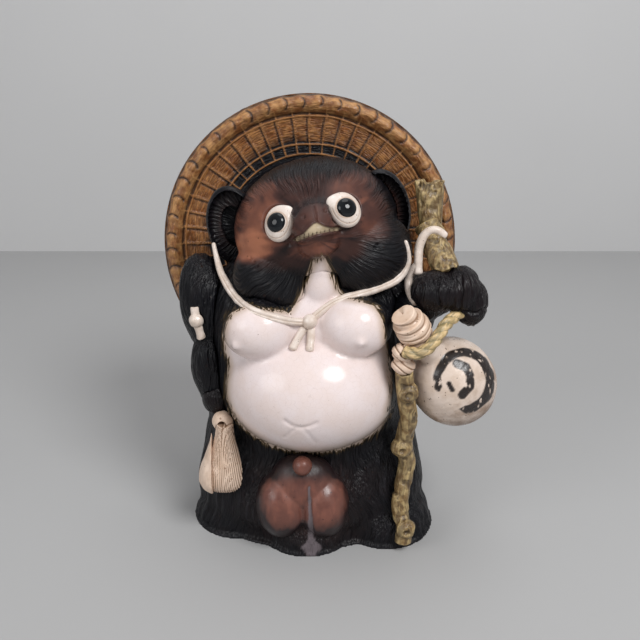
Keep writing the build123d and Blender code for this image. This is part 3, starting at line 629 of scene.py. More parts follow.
# %% White slip on the small pieces, with brown in their hollows
def slip_glaze(name, light, stain, grain, gloss):
    """Thick pale slip: pinholes, kiln colour, and a stain that gathers where the wear says hollow."""
    glaze, tree, shader, place = new_glaze(name)
    blush = use_group(tree, blush_group, Place=place, Size=grain)
    crackle = use_group(tree, crackle_group, Place=place, Cell=3.6)
    wear_and_shading = noted(tree, "wear_and_shading")
    toned = tint(tree, maths(tree, "MULTIPLY", blush["Blush"], 0.45), light, stain)
    gathered = tint(tree, soft_step(tree, wear_and_shading, -0.9, 0.05, 0.85, 0.0), toned, stain)
    specked = tint(tree, maths(tree, "MULTIPLY", blush["Speck"], 0.55), gathered, (0.10, 0.055, 0.035))
    holed = tint(tree, maths(tree, "MULTIPLY", crackle["Pinhole"], 0.8), specked, (0.09, 0.05, 0.03))
    wire(tree, holed, shader.inputs["Base Color"])
    wire(tree, soft_step(tree, blush["Blush"], 0.0, 1.0, gloss, gloss + 0.15), shader.inputs["Roughness"])
    raise_relief(tree, shader, maths(tree, "SUBTRACT", blush["Blush"], crackle["Pinhole"]), 0.18)
    return glaze


cord_glaze = slip_glaze("cord_glaze", (0.80, 0.70, 0.63), (0.42, 0.29, 0.19), grain=9.0, gloss=0.22)
eye_glaze = slip_glaze("eye_glaze", (0.78, 0.70, 0.64), (0.50, 0.36, 0.27), grain=12.0, gloss=0.16)


def bead_glaze():
    """The glassy black of the eye beads, a little paler and bluer towards the rim."""
    glaze, tree, shader, place = new_glaze("bead_glaze")
    blush = use_group(tree, blush_group, Place=place, Size=5.0)
    rim = noted(tree, "bead_rim")
    pooled = tint(tree, blush["Blush"], (0.0015, 0.0015, 0.002), (0.003, 0.004, 0.006))
    edge = soft_step(tree, rim, 0.55, 0.95)
    wire(tree, tint(tree, edge, pooled, (0.010, 0.012, 0.014)), shader.inputs["Base Color"])
    shader.inputs["Specular IOR Level"].default_value = 0.35
    wire(tree, soft_step(tree, blush["Blush"], 0.0, 1.0, 0.04, 0.09), shader.inputs["Roughness"])
    raise_relief(tree, shader, blush["Blush"], 0.02)
    return glaze


eye_bead_glaze = bead_glaze()
print("with the slips:", len(bpy.data.materials))

# %% [markdown]
# ### Ochre and brown
# Straw, wood, rope, paper and the pouch share one runny glaze. It is light on proud places and dark in the
# hollows, where it thins and pools and also as painted highlight and painted shade, and each piece gets its
# own three colours. Soot stands for black glaze that was brushed on top, and painted shadow goes into the
# same mask.

# %% Ochre and brown glazes, for straw, wood, rope, paper and the pouch
# Black glaze brushed on top, and also the colour of painted shade and painted shadow.
SOOT_AND_SHADE_BLACK = (0.0055, 0.005, 0.007)


def ochre_glaze(name, light, middle, dark, pitch, length, size, gloss, relief=0.35, streaks=0.55):
    """Runny glaze over a modelled texture: light on proud places and dark in the hollows, as glaze thins and
    pools and also as painted highlight and painted shade.
    """
    glaze, tree, shader, place = new_glaze(name)
    streak = combing(tree, pitch, length)
    blush = use_group(tree, blush_group, Place=place, Size=size)
    wear_and_shading = noted(tree, "wear_and_shading")
    pale = noted(tree, "pale")
    soot_and_shade = noted(tree, "soot_and_shade")
    base = tint(tree, blush["Blush"], middle, light)
    streaked = tint(tree, soft_step(tree, streak, 0.0, 1.0, streaks, 0.0), base, dark)
    # Dark in hollows and light on proud places: glaze pooling and thinning, and also painted shade and
    # painted highlight.
    hollow = tint(tree, soft_step(tree, wear_and_shading, -1.0, 0.0, 0.9, 0.0), streaked, dark)
    proud = tint(tree, soft_step(tree, wear_and_shading, 0.1, 1.0, 0.0, 0.6), hollow, light)
    lined = tint(tree, maths(tree, "MULTIPLY", pale, 0.8), proud, light)
    specked = tint(tree, maths(tree, "MULTIPLY", blush["Speck"], 0.7), lined, dark)
    # Soot and painted shade: black glaze brushed on, and painted shadow on the hat and the pouch.
    sooted_and_shaded = tint(tree, soot_and_shade, specked, SOOT_AND_SHADE_BLACK)
    wire(tree, sooted_and_shaded, shader.inputs["Base Color"])
    wire(tree, soft_step(tree, blush["Blush"], 0.0, 1.0, gloss, gloss + 0.2), shader.inputs["Roughness"])
    height = maths(tree, "ADD", streak, maths(tree, "MULTIPLY", blush["Blush"], 0.6))
    raise_relief(tree, shader, height, relief)
    return glaze


straw_glaze = ochre_glaze(
    "straw_glaze", (0.44, 0.20, 0.065), (0.25, 0.088, 0.024), (0.050, 0.016, 0.007),
    pitch=1.1, length=7.0, size=6.0, gloss=0.32,
)
rim_glaze = ochre_glaze(
    "rim_glaze", (0.47, 0.24, 0.086), (0.24, 0.090, 0.029), (0.070, 0.028, 0.016),
    pitch=2.0, length=3.0, size=7.0, gloss=0.34, relief=0.3, streaks=0.35,
)
wood_glaze = ochre_glaze(
    "wood_glaze", (0.46, 0.34, 0.16), (0.20, 0.120, 0.045), (0.040, 0.020, 0.010),
    pitch=2.6, length=7.0, size=6.0, gloss=0.30,
)
rope_glaze = ochre_glaze(
    "rope_glaze", (0.72, 0.52, 0.27), (0.45, 0.33, 0.15), (0.035, 0.055, 0.035),
    pitch=2.2, length=5.0, size=5.0, gloss=0.28,
)
paper_glaze = ochre_glaze(
    "paper_glaze", (0.83, 0.65, 0.52), (0.70, 0.51, 0.38), (0.24, 0.13, 0.07),
    pitch=1.6, length=20.0, size=16.0, gloss=0.30, relief=0.12, streaks=0.12,
)
pouch_glaze = ochre_glaze(
    "pouch_glaze", (0.215, 0.078, 0.052), (0.150, 0.055, 0.040), (0.045, 0.020, 0.016),
    pitch=5.0, length=3.0, size=15.0, gloss=0.30, relief=0.10, streaks=0.22,
)
print("glazes", len(bpy.data.materials))

# %% [markdown]
# ## The body
# Two pressed halves meet at a mould seam on the sides. The skin is made over both at once and is parted
# again at the seam when it is finished, so the join is as fine as on the real piece. The white slip covers
# the chest and the belly, and the rest is combed fur under a blue-black glaze.

# %% Outlines of the white slip and of marks on the body
SLIP_OUTLINE = (
    (320.3, 257), (326.2, 259), (329.8, 267.4), (332.8, 276.2), (336.4, 285), (340.8, 292.3),
    (346.7, 297), (358.4, 299), (369, 302), (378.2, 309), (382.6, 318.7), (384.8, 329),
    (386.5, 345), (389.5, 360), (392, 378), (392, 396), (388.4, 417), (382.8, 427),
    (373.8, 435.6), (358.8, 444.6), (339.2, 450.8), (317.6, 453.8), (300.5, 453.4), (286.8, 451),
    (269.5, 446.5), (252.3, 436.2), (238.5, 424.1), (229.9, 410.3), (226.5, 398), (226, 384),
    (229, 366), (224.5, 352), (223, 336), (225.5, 322), (230, 314), (240, 308),
    (248.4, 303.5), (258, 308), (272, 310), (289.5, 311.4), (293.9, 305.5), (296.8, 298.2),
    (301.2, 290.8), (304.9, 282), (309.3, 271.8), (313, 263),
)
NAVEL = ((284.2, 420.3), (288, 423.5), (293, 426.3), (300.5, 427.8), (309.2, 426.9), (316.9, 423.2))
NAVEL_STROKES = (((293.7, 429.5), (284.2, 437.5)), ((303.6, 429.5), (309, 435), (316, 442.7)))
NECK_JOINT = (318.5, 272)
DRIP = ((309.2, 488), (309.4, 505), (310.2, 522), (311.2, 540), (311.5, 556))


def trickle(marks, points):
    """Where grey glaze has run down the middle of the skirt and splashed on its foot."""
    width = 1.1 + 0.035 * np.clip(marks[:, 1] - 488, 0, 80)
    width += 6.0 * np.exp(-(((marks[:, 1] - 548) / 6) ** 2))
    reach = to_line(marks, DRIP) / width * (0.7 + 0.6 * clouds(points, 2.6 * MM, 102))
    return step_up(1.15, 0.8, reach)


print("slip outline of", len(SLIP_OUTLINE), "places")

# %% The body's skin and what of it the photograph shows
NO_SLIP = -40.0
BODY_CELL = 1.62
body_skin = skin_over("body", ["body_front", "body_back", "nipple_right", "nipple_left"], BODY_CELL, 7)
skin_points = points_of(body_skin)
floor_level = 0.8 * MM
skin_points[skin_points[:, 2] < floor_level, 2] = 0
put_points(body_skin, skin_points)
body_marks = seen_at(skin_points)
out_of_body = normals_of(body_skin)
inside_hollow = np.einsum("ij,ij->i", out_of_body, skin_points - spot(0, 0, 110)) < -0.01
facing = (out_of_body @ (EYE - spot(0, -60, 150))) > 0.02
slip_reach = np.where(facing & ~inside_hollow, within(body_marks, SLIP_OUTLINE), NO_SLIP)
fur_share = step_up(2.0, -3.0, slip_reach) * np.where(inside_hollow, 0.0, 1.0)
print("body skin", len(body_skin.polygons), "faces")

# %% [markdown]
# Locks are broad lumps of the comb's direction and strands are thin ones. Lower down, broad folds and long
# strokes are added, as the skirt has them. The slip over the chest lies a little proud of the combed clay,
# and the navel is cut into it.

# %% Comb the body
drift = clouds(skin_points, 26 * MM, 3) - 0.5
comb_flow = skin_points.copy()
comb_flow[:, 0] += drift * 14 * MM + 0.12 * skin_points[:, 2] * np.sign(skin_points[:, 0])
locks = clouds(comb_flow, (5.0 * MM, 5.0 * MM, 34 * MM), 5)
strands = clouds(comb_flow, (2.6 * MM, 2.6 * MM, 24 * MM), 9)
fur_depth = 1.9 * locks + 1.2 * strands
lower_fur = step_up(120 * MM, 40 * MM, skin_points[:, 2])
folds = clouds(comb_flow, (15 * MM, 15 * MM, 120 * MM), 11)
fur_depth += 2.6 * lower_fur * folds
long_strokes = clouds(comb_flow, (3.4 * MM, 3.4 * MM, 60 * MM), 13)
fur_depth += 1.8 * lower_fur * long_strokes
fur_depth *= fur_share * step_up(0.0, 4 * MM, skin_points[:, 2])
navel_depth = 1.3 * groove(body_marks, NAVEL, 1.3)
for stroke in NAVEL_STROKES:
    navel_depth += 0.9 * groove(body_marks, stroke, 1.1)
navel_depth *= facing
neck_joint = soft_oval(body_marks, NECK_JOINT, (13, 4)) * facing
press(body_skin, fur_depth - 0.9 * fur_share + navel_depth - 1.5 * neck_joint)
pinned = points_of(body_skin)
pinned[:, 2] = np.maximum(pinned[:, 2], 0)
put_points(body_skin, pinned)

warm_legs = np.exp(-((body_marks[:, 0] - 308) / 52) ** 2) * step_up(452, 480, body_marks[:, 1])
warm_legs *= step_up(560, 520, body_marks[:, 1]) * facing
note_flow(body_skin, comb_flow)
note(body_skin, "slip", slip_reach)
note(body_skin, "warm", 0.42 * warm_legs)
note(body_skin, "drip", trickle(body_marks, skin_points) * facing)
note(body_skin, "wear_and_shading", wear_of(body_skin))
print("navel is", round(float(navel_depth.max()), 2), "mm deep")

# %% [markdown]
# The real seam runs down both sides, where the two moulds met. A plane cuts a copy of the skin there, one
# half is kept each time, and the cut is filled, so both halves are closed clay.

# %% Part the body at its mould seam
def keep_side(mesh, name, place, direction):
    """A copy of a closed mesh cut by a plane, of which the side against the direction is kept."""
    form = bmesh.new()
    form.from_mesh(mesh)
    cut = bmesh.ops.bisect_plane(
        form,
        geom=form.verts[:] + form.edges[:] + form.faces[:],
        plane_co=place,
        plane_no=direction,
        clear_outer=True,
    )
    rim = [edge for edge in cut["geom_cut"] if isinstance(edge, bmesh.types.BMEdge)]
    bmesh.ops.triangle_fill(form, edges=rim, use_beauty=True)
    bmesh.ops.recalc_face_normals(form, faces=form.faces)
    half = bpy.data.meshes.new(name)
    form.to_mesh(half)
    form.free()
    return half


seam = spot(0, -5.2, 0)
front_half = keep_side(body_skin, "body_front_skin", seam, (0, 1, 0))
back_half = keep_side(body_skin, "body_back_skin", seam, (0, -1, 0))
body_front = place_piece(
    "body_front_skin", front_half, "body_front", "nipple_right", "nipple_left", slot="body_slip"
)
body_back = place_piece("body_back_skin", back_half, "body_back", slot="dark_glaze")
print("halves", len(front_half.polygons), len(back_half.polygons))

# %% [markdown]
# ## The head
# The head is a pressed shell, tipped to one side, with a short snout modelled on its front. One skin goes
# over the shell, the muzzle and the jaw, because the potter smoothed those joints away. The comb strokes
# run out from the nose, so the combing direction is worked out from the angle and the distance round it.

# %% The head's own directions and the marks on the face
HEAD_MIDDLE = spot(5.3, -12.04, 263.4)
HEAD_TILT = math.radians(10.7)
HEAD_HALF = np.array((67.0, 64.0, 54.0)) * MM
HEAD_AXES = np.array(
    (
        (math.cos(HEAD_TILT), 0, math.sin(HEAD_TILT)),
        (0, 1, 0),
        (-math.sin(HEAD_TILT), 0, math.cos(HEAD_TILT)),
    )
)
NOSE_CREASE = ((294, 215), (297, 209), (303, 204), (312, 201), (321, 200), (328, 202), (332, 205))
PHILTRUM = ((313.6, 206.5), (315.5, 214), (316.8, 221))
NOSTRILS = ((303.4, 216.7), (325.4, 210.4))
MOUTH_CORNERS = ((288.7, 243.9), (341.6, 229.9))
TEETH_OUTLINE = (
    (292.5, 240.5), (297.5, 236.6), (302.7, 234.2), (309, 227.5), (313.6, 223.4), (317, 222.2),
    (320.5, 223.8), (325, 226.2), (331, 227.6), (337.9, 227.2), (342, 229.2), (337.9, 230.8),
    (324.7, 233.3), (315.9, 234.8), (308.5, 238.0), (302.7, 240.2), (296, 241.6),
)
LIP_LINE = (
    (290, 243), (296, 241.6), (302.7, 240.2), (308.5, 238), (315.9, 234.8), (324.7, 233.3), (341, 231),
)
EYE_OVALS = (((277.7, 222.4), (15.4, 17.8)), ((345.0, 209.7), (16.1, 16.6)))
FACE_PITS = ((253.5, 262.2), (250, 258), (257, 266), (374.6, 247.5), (377, 244), (270, 180), (340.8, 172))
WARM_PATCHES = (
    (262, 224, 30, 32, 0.78), (250, 246, 24, 16, 0.96), (262, 190, 20, 12, 0.62), (315, 226, 32, 28, 0.54),
    (352, 190, 24, 20, 0.62), (370, 214, 18, 24, 0.56), (366, 230, 20, 14, 0.52), (310, 190, 34, 16, 0.44),
    (312, 250, 26, 10, 0.66), (280, 262, 30, 10, 0.34), (346, 248, 18, 12, 0.40),
)
SMOOTH_PATCHES = (
    (276, 222, 30, 30), (252, 246, 26, 17), (314, 226, 36, 26), (346, 207, 26, 26), (362, 217, 18, 15),
    (315, 247, 44, 20),
)
DIMPLES = ((NOSTRILS, 2.0, 1.7), (MOUTH_CORNERS, 1.5, 2.6), (FACE_PITS, 1.4, 1.3))


def patches(marks, table, ragged=0.0):
    """Several soft oval patches in the photograph's frame, run together, at each mark."""
    total = np.zeros(len(marks))
    for x, y, wide, high, strength in table:
        reach = ((marks[:, 0] - x) / wide) ** 2 + ((marks[:, 1] - y) / high) ** 2 + ragged
        total += (strength * step_up(2.2, 0.1, reach)) ** 4
    return total**0.25


print("brown patches on the face:", len(WARM_PATCHES))

# %% [markdown]
# The face needs finer cells than the back of the head, so its faces are divided, and once more at the snout,
# where the jaw is then smoothed into the head. One jowl sags lower than the solid's.

# %% The head's skin, finer on the face
HEAD_CELL = 1.7
SHELL_SKIN = 4.5 * MM
JOWL_SAG = np.array((1.0, -1.5, -5.0))
head_skin = skin_over("head_skin", ["head_shell", "muzzle", "lower_jaw", "teeth"], HEAD_CELL, 3)
head_points, head_marks, facing = look_at(head_skin)
in_head = (head_points - HEAD_MIDDLE) @ HEAD_AXES.T
outside = (np.linalg.norm(in_head / (HEAD_HALF - SHELL_SKIN), axis=1) > 1.0) & facing
split_finer(head_skin, outside & (head_points[:, 1] < spot(0, -22, 0)[1]))
relax(head_skin, 2)
snout_points, snout_marks, facing = look_at(head_skin)
snout = np.linalg.norm((snout_marks - (316, 232)) / (30, 16), axis=1) < 1
split_finer(head_skin, snout & (snout_points[:, 1] < EYE[1] * 0.1))
snout_marks = seen_at(points_of(head_skin))
relax(head_skin, 22, np.linalg.norm((snout_marks - (315, 240)) / (29, 12), axis=1) > 1)

head_points, head_marks, facing = look_at(head_skin)
in_head = (head_points - HEAD_MIDDLE) @ HEAD_AXES.T
sag = soft_oval(head_marks, (286, 292), (22, 16)) * facing
head_points += sag[:, None] * JOWL_SAG * MM
put_points(head_skin, head_points)
head_marks = seen_at(head_points)
print("head", len(head_skin.polygons), "faces")

# %% [markdown]
# The comb ran out from the nose in all directions, so a stroke's length is the distance from the nose, and
# strokes lie side by side by their angle round it. The wiped brown parts are smooth and hardly combed.

# %% Comb the head and cut the face
NOSE = np.array((4.0, -60.0, 8.0)) * MM
ROUND_NOSE = 44 * MM
TOOTH_PITCH = 4.6
from_nose = in_head - NOSE
turn = np.arctan2(from_nose[:, 2], from_nose[:, 0])
turn += (clouds(head_points, 16 * MM, 21) - 0.5) * 0.10
reach = np.linalg.norm(from_nose, axis=1)
head_flow = np.stack([np.cos(turn) * ROUND_NOSE, np.sin(turn) * ROUND_NOSE, reach], axis=1)
front_share = step_up(4 * MM, -16 * MM, in_head[:, 1]) * facing
smooth = patches(head_marks, [(*patch, 1.0) for patch in SMOOTH_PATCHES]) * front_share
smooth = np.clip(smooth * 1.3, 0, 1)
combs = clouds(head_flow, (1.5 * MM, 1.5 * MM, 16 * MM), 31)
locks = clouds(head_flow, (3.6 * MM, 3.6 * MM, 22 * MM), 32)
outer_share = step_up(0.95, 1.0, np.linalg.norm(in_head / (HEAD_HALF - 5 * MM), axis=1))
depth = (0.75 * combs + 0.45 * locks - 0.5) * (1 - smooth) * outer_share
depth += 0.20 * clouds(head_points, 7 * MM, 33) * smooth
depth += 1.5 * groove(head_marks, NOSE_CREASE, 1.6) * facing
depth += 1.3 * groove(head_marks, PHILTRUM, 0.9) * facing
for places, deep, wide in DIMPLES:
    for place in places:
        depth += deep * dimple(head_marks, place, wide) * facing
tooth_reach = within(head_marks, TEETH_OUTLINE)
tooth = step_up(-0.3, 0.5, tooth_reach) * facing
tooth_cuts = step_up(0.62, 0.95, np.cos((head_marks[:, 0] - 317.6) * 2 * math.pi / TOOTH_PITCH + 1.6 * combs))
tooth_cuts *= step_up(4.5, 1.5, np.abs(head_marks[:, 1] - 239 + 0.16 * (head_marks[:, 0] - 294)))
depth += (1.1 + 0.6 * tooth_cuts) * tooth - 0.5 * np.exp(-(((tooth_reach + 1.6) / 1.2) ** 2)) * facing
depth += 0.8 * groove(head_marks, LIP_LINE, 0.8) * facing
for middle, half in EYE_OVALS:
    depth += 4.0 * step_up(1.03, 0.90, np.linalg.norm((head_marks - middle) / half, axis=1)) * facing
press(head_skin, depth)
print("face cuts up to", round(float(depth.max()), 1), "mm deep")

# %% Note the colours of the face
crease = groove(head_marks, NOSE_CREASE, 4.0) * facing
ragged = 0.9 * (clouds(head_flow, (3 * MM, 3 * MM, 14 * MM), 35) - 0.5)
warm = patches(head_marks, WARM_PATCHES, ragged) * front_share
warm += (clouds(head_points, 6 * MM, 34) - 0.5) * 0.10 * (warm > 0.05)
note_flow(head_skin, head_flow)
note(head_skin, "warm", warm * (1 - 0.35 * crease))
note(head_skin, "smooth", smooth)
note(head_skin, "tooth", tooth * (1 - 0.75 * tooth_cuts))
note(head_skin, "slip", np.where(facing, within(head_marks, SLIP_OUTLINE), NO_SLIP))
note(head_skin, "wear_and_shading", wear_of(head_skin))
head = place_piece("head_skin", head_skin, "head_shell", "muzzle", "lower_jaw", "teeth", slot="face_glaze")
print("brown on", round(float((warm > 0.3).mean()) * 100), "% of the head's points")

# %% [markdown]
# ## The ears
# Each ear is a shallow cup with a thin rolled rim. A fan of short ribs, cut with the edge of the comb,
# runs from the middle of the cup out to the rim.

# %% Shape the ears
EAR_HALF_WIDE = 22.4
EAR_HALF_HIGH = 34.0
EAR_RIBS = 30.0 / 2.5 / 1.35


def shape_ear(side, place, warm_share):
    """One ear with its fan of ribs, placed by shares of the head's half sizes."""
    name = "ear_right" if side < 0 else "ear_left"
    mesh = skin_over(name + "_skin", [name], 0.8, 2)
    middle = HEAD_MIDDLE + (np.array(place) * HEAD_HALF) @ HEAD_AXES
    local = (points_of(mesh) - middle) @ HEAD_AXES.T / MM
    root = np.array((-side * 13.0, 0.0, -6.0))
    fan = local - root
    turn = np.arctan2(fan[:, 2], fan[:, 0] * side)
    reach = np.hypot(fan[:, 0], fan[:, 2])
    edge = np.hypot(local[:, 0] / EAR_HALF_WIDE, local[:, 2] / EAR_HALF_HIGH)
    out = normals_of(mesh)
    cup = (out[:, 1] < 0.1) & (local[:, 1] < 6)
    ribbed = step_up(0.35, 0.55, edge) * step_up(0.93, 0.84, edge) * cup
    wobble = (clouds(points_of(mesh), 9 * MM, 41) - 0.5) * 0.12
    ribs = np.cos((turn + wobble) * 2 * math.pi * EAR_RIBS)
    filled = points_of(mesh)
    filled[:, 1] -= 5.0 * MM * step_up(0.95, 0.45, edge) * (cup & (local[:, 1] > -11))
    put_points(mesh, filled)
    press(mesh, (0.5 - 0.6 * ribs) * ribbed + 0.3 * clouds(points_of(mesh), 5 * MM, 42) * (1 - ribbed))
    flow = np.stack([turn * 26, np.zeros(len(turn)), reach], axis=1) * MM
    note_flow(mesh, flow)
    note(mesh, "warm", warm_share * step_up(0.95, 0.3, edge) * cup)
    note(mesh, "smooth", step_up(0.86, 0.94, edge))
    note(mesh, "wear_and_shading", wear_of(mesh))
    return place_piece(name + "_skin", mesh, name, slot="dark_glaze")


ears = [shape_ear(-1, (-0.98, -0.02, 0.20), 0.40), shape_ear(1, (0.84, -0.02, 0.03), 0.76)]
print("ears", [len(ear.data.polygons) for ear in ears])

# %% [markdown]
# ## The eyes
# The white of each eye is a patted almond of white slip with a line cut inside its edge, and its bead is a
# ball of black glaze that stands out of it. Both are set a little lower than on the plain solids.

# %% Shape the eyes
WHITE_HALF = np.array((12.3, 14.0, 6.2))
EYE_SHIFTS = {"right": (3.2, -2.2, -3.2), "left": (0.6, -2.0, -2.5)}
EYE_BEADS = {"right": (277.0, 221.8), "left": (345.8, 207.4)}
BEAD_REACH = 10.0
BEAD_GROWTH = 1.20


def pat_white(side, sign):
    """One white: a patted ball on the brow, drawn out to a corner beside the nose."""
    form = bmesh.new()
    bmesh.ops.create_icosphere(form, subdivisions=6, radius=1.0)
    mesh = bpy.data.meshes.new("eye_white_" + side + "_skin")
    form.to_mesh(mesh)
    form.free()
    ball = points_of(mesh)
    seat = np.array((sign * 0.39, -0.8195, 0.42))
    out = (seat / HEAD_HALF) @ HEAD_AXES
    out /= np.linalg.norm(out)
    across = HEAD_AXES[0] - out * (HEAD_AXES[0] @ out)
    across /= np.linalg.norm(across)
    rise = np.cross(out, across)
    lean = math.radians(sign * 14)
    turned_across = across * math.cos(lean) + rise * math.sin(lean)
    turned_rise = rise * math.cos(lean) - across * math.sin(lean)
    edge = np.hypot(ball[:, 0], ball[:, 1])
    turn = np.arctan2(ball[:, 1], ball[:, 0] * -sign)
    corner = 1 + 0.17 * np.exp(-(((turn - 0.75) / 0.42) ** 2)) * step_up(0.4, 1.0, edge)
    line = np.exp(-(((edge - 0.84) / 0.030) ** 2)) * step_up(0.9, -0.2, ball[:, 1])
    lumpy = clouds(ball, 0.5, 55) - 0.5
    flat = ball * np.stack([corner, corner, 1 + 0.05 * lumpy - 0.10 * line * (ball[:, 2] > 0)], axis=1)
    flat *= WHITE_HALF * MM
    middle = HEAD_MIDDLE + (seat * HEAD_HALF) @ HEAD_AXES + np.array(EYE_SHIFTS[side]) * MM
    put_points(mesh, middle + flat @ np.array((turned_across, turned_rise, out)))
    from_bead = np.linalg.norm(seen_at(points_of(mesh)) - EYE_BEADS[side], axis=1)
    socket = np.exp(-(((from_bead - BEAD_REACH) / 0.9) ** 2))
    note(mesh, "wear_and_shading", np.where(ball[:, 2] > 0, -0.7 * line - 0.8 * socket, 0))
    return place_piece(mesh.name, mesh, "eye_white_" + side, slot="white_slip")


eye_pieces = [pat_white("right", -1), pat_white("left", 1)]
for side in EYE_SHIFTS:
    node = "pupil_" + side
    mesh = skin_over(node + "_skin", [node], 0.35, 4)
    points = points_of(mesh)
    middle = points.mean(axis=0)
    points = middle + (points - middle) * BEAD_GROWTH + np.array(EYE_SHIFTS[side]) * MM
    put_points(mesh, points)
    away = np.linalg.norm(points - points.mean(axis=0), axis=1)
    note(mesh, "bead_rim", away / away.max())
    eye_pieces.append(place_piece(node + "_skin", mesh, node, slot="bead_black"))

print("eyes", len(eye_pieces), "pieces")

# %% [markdown]
# ## The hat
# The hat is a turned cone of clay that leans behind the head. A fan of straight ribs and three hoops are
# raised on it, like the split bamboo under straw, and a shadow is painted dark beside them. Its rim is a
# thick rolled edge, pressed with a tool once a rib to look like a binding cord.

# %% Measures of the hat
HAT_MIDDLE = np.array((-12.149, 47.36, 232.67)) * MM
HAT_AXES = np.array(((1, 0, 0), (0, 0.1392, 0.9903), (0, -0.9903, 0.1392)))
LATTICE_EDGE = 113.0
HAT_EDGE = 130.0
HAT_SLOPE = math.tan(math.radians(18.0))
RIBS = 48
RIB_PITCH = 2 * math.pi / RIBS
HOOPS = (78.4, 87.0, 110.6)
RIM_HALF = 7.0
RIM_MIDDLE = (HAT_EDGE + LATTICE_EDGE) / 2
RIM_HALF_WIDTH = 8.5
RIM_ARC = 30


def rim_height(radius):
    """How high the rim's rounded section stands at a radius, in millimetres."""
    return RIM_HALF * (1 - ((radius - RIM_MIDDLE) / RIM_HALF_WIDTH) ** 2)


def turned(name, profile, steps):
    """A form spun from a profile of (radius, height) in millimetres about its own axis."""
    form = bmesh.new()
    corners = [form.verts.new((radius * MM, 0, height * MM)) for radius, height in profile]
    edges = [form.edges.new(pair) for pair in zip(corners, corners[1:] + corners[:1])]
    bmesh.ops.spin(
        form,
        geom=corners + edges,
        cent=(0, 0, 0),
        axis=(0, 0, 1),
        angle=2 * math.pi,
        steps=steps,
        use_merge=True,
    )
    bmesh.ops.remove_doubles(form, verts=form.verts, dist=WELD)
    bmesh.ops.recalc_face_normals(form, faces=form.faces)
    mesh = bpy.data.meshes.new(name)
    form.to_mesh(mesh)
    form.free()
    return mesh


def hat_shape(mesh, relief):
    """Shapes a turned mesh by its angle and radius, then stands it up behind the head."""
    local = points_of(mesh)
    radius = np.hypot(local[:, 0], local[:, 1]) / MM
    angle = np.arctan2(local[:, 1], local[:, 0])
    local, notes = relief(local, radius, angle)
    put_points(mesh, HAT_MIDDLE + local @ HAT_AXES)
    for key, values in notes.items():
        note(mesh, key, values)


def hat_flow(mesh):
    """Runs the straw's fine streaks round the hat: the stroke's length goes with the angle."""
    local = (points_of(mesh) - HAT_MIDDLE) @ HAT_AXES.T
    radius = np.hypot(local[:, 0], local[:, 1])
    angle = np.arctan2(local[:, 1], local[:, 0])
    return np.stack([radius, local[:, 2], np.abs(angle) * 0.1], axis=1)


print("hat:", RIBS, "ribs and", len(HOOPS), "hoops, rim middle at", RIM_MIDDLE, "mm")

# %% [markdown]
# The dish is spun from its side view. A rib's profile is a parabola of the distance to the nearest of 48
# lines, and a hoop's is one of the distance to its circle. A shadow is painted to one side of each, in a
# shallow dip.

# %% The dish with its ribs and hoops
def rib_line(angle, radius, width):
    """The profile of the nearest rib, 1 on its middle line and 0 beside it."""
    off = (angle / RIB_PITCH - np.round(angle / RIB_PITCH)) * RIB_PITCH * radius
    return np.clip(1 - (off / (width / 2)) ** 2, 0, 1), off


def dish_relief(local, radius, angle):
    """Raises the ribs and hoops on the front of the dish, and marks a painted shadow beside each and painted
    shade near the head and low on the dish.
    """
    front = (local[:, 2] / MM > (radius - LATTICE_EDGE) * HAT_SLOPE - 2) & (radius < LATTICE_EDGE)
    wander = (clouds(local, 14 * MM, 61) - 0.5) * 1.6 / np.maximum(radius, 1)
    rib, off = rib_line(angle + wander, radius, 1.6)
    rib *= radius > HOOPS[0]
    hoop = np.zeros(len(radius))
    # Painted shadow: a thin dark line to one side of each rib and, below, of each hoop, also pressed as a
    # shallow dip.
    shade = np.exp(-((off - 1.8) / 0.9) ** 2) * (radius > HOOPS[0])
    for at in HOOPS:
        here = at + (clouds(local, 22 * MM, 62) - 0.5) * 1.4
        hoop = np.maximum(hoop, np.clip(1 - ((radius - here) / 0.85) ** 2, 0, 1))
        shade = np.maximum(shade, np.exp(-((radius - here - 1.9) / 0.8) ** 2))
    raised = np.maximum(np.sqrt(rib), np.sqrt(hoop)) * front
    lumpy = clouds(local, 6 * MM, 63) - 0.5
    heights = 1.25 * raised + 0.7 * lumpy * (1 - raised) - 0.55 * shade * (1 - raised)
    local[:, 2] += heights * front * MM
    # Painted shade near the head and towards the lower side of the dish, and a dark band inside the second
    # hoop.
    near_head_shade = step_up(99, 87, radius + (clouds(local, 9 * MM, 64) - 0.5) * 16)
    squares = step_up(HOOPS[1] + 0.6, HOOPS[1] - 0.8, radius)
    lower_shade = step_up(0.15, -0.55, np.sin(angle)) * 0.35
    soot_and_shade = np.maximum(squares, np.maximum(near_head_shade * 0.62, lower_shade) * (1 - 0.4 * lumpy))
    notes = {
        "pale": 0.62 * raised,
        "soot_and_shade": np.clip(soot_and_shade * (1 - raised) + 0.75 * shade * (1 - raised), 0, 1) * front,
        "wear_and_shading": -0.5 * shade * (1 - raised) + 0.2 * lumpy,
    }
    return local, notes


front_radii = [0, 40] + [60 + 0.62 * k for k in range(86)]
dish_profile = [(radius, (radius - LATTICE_EDGE) * HAT_SLOPE) for radius in front_radii]
seat_arc = [RIM_MIDDLE + RIM_HALF_WIDTH * math.cos(math.radians(a)) for a in range(170, 0, -17)]
dish_profile += [(radius, -rim_height(radius) - 0.1) for radius in seat_arc]
back_radii = ((128.5, -3.2), (121.5, -8), (113, -8), (100, -12.2), (80, -18.7), (50, -28.5), (0, -44.7))
dish_profile += list(back_radii)
dish_mesh = turned("hat_skin", dish_profile, 624)
hat_shape(dish_mesh, dish_relief)
note_flow(dish_mesh, hat_flow(dish_mesh))
hat = place_piece("hat_skin", dish_mesh, "hat", slot="straw_glaze")
print("dish", len(dish_mesh.polygons), "faces")

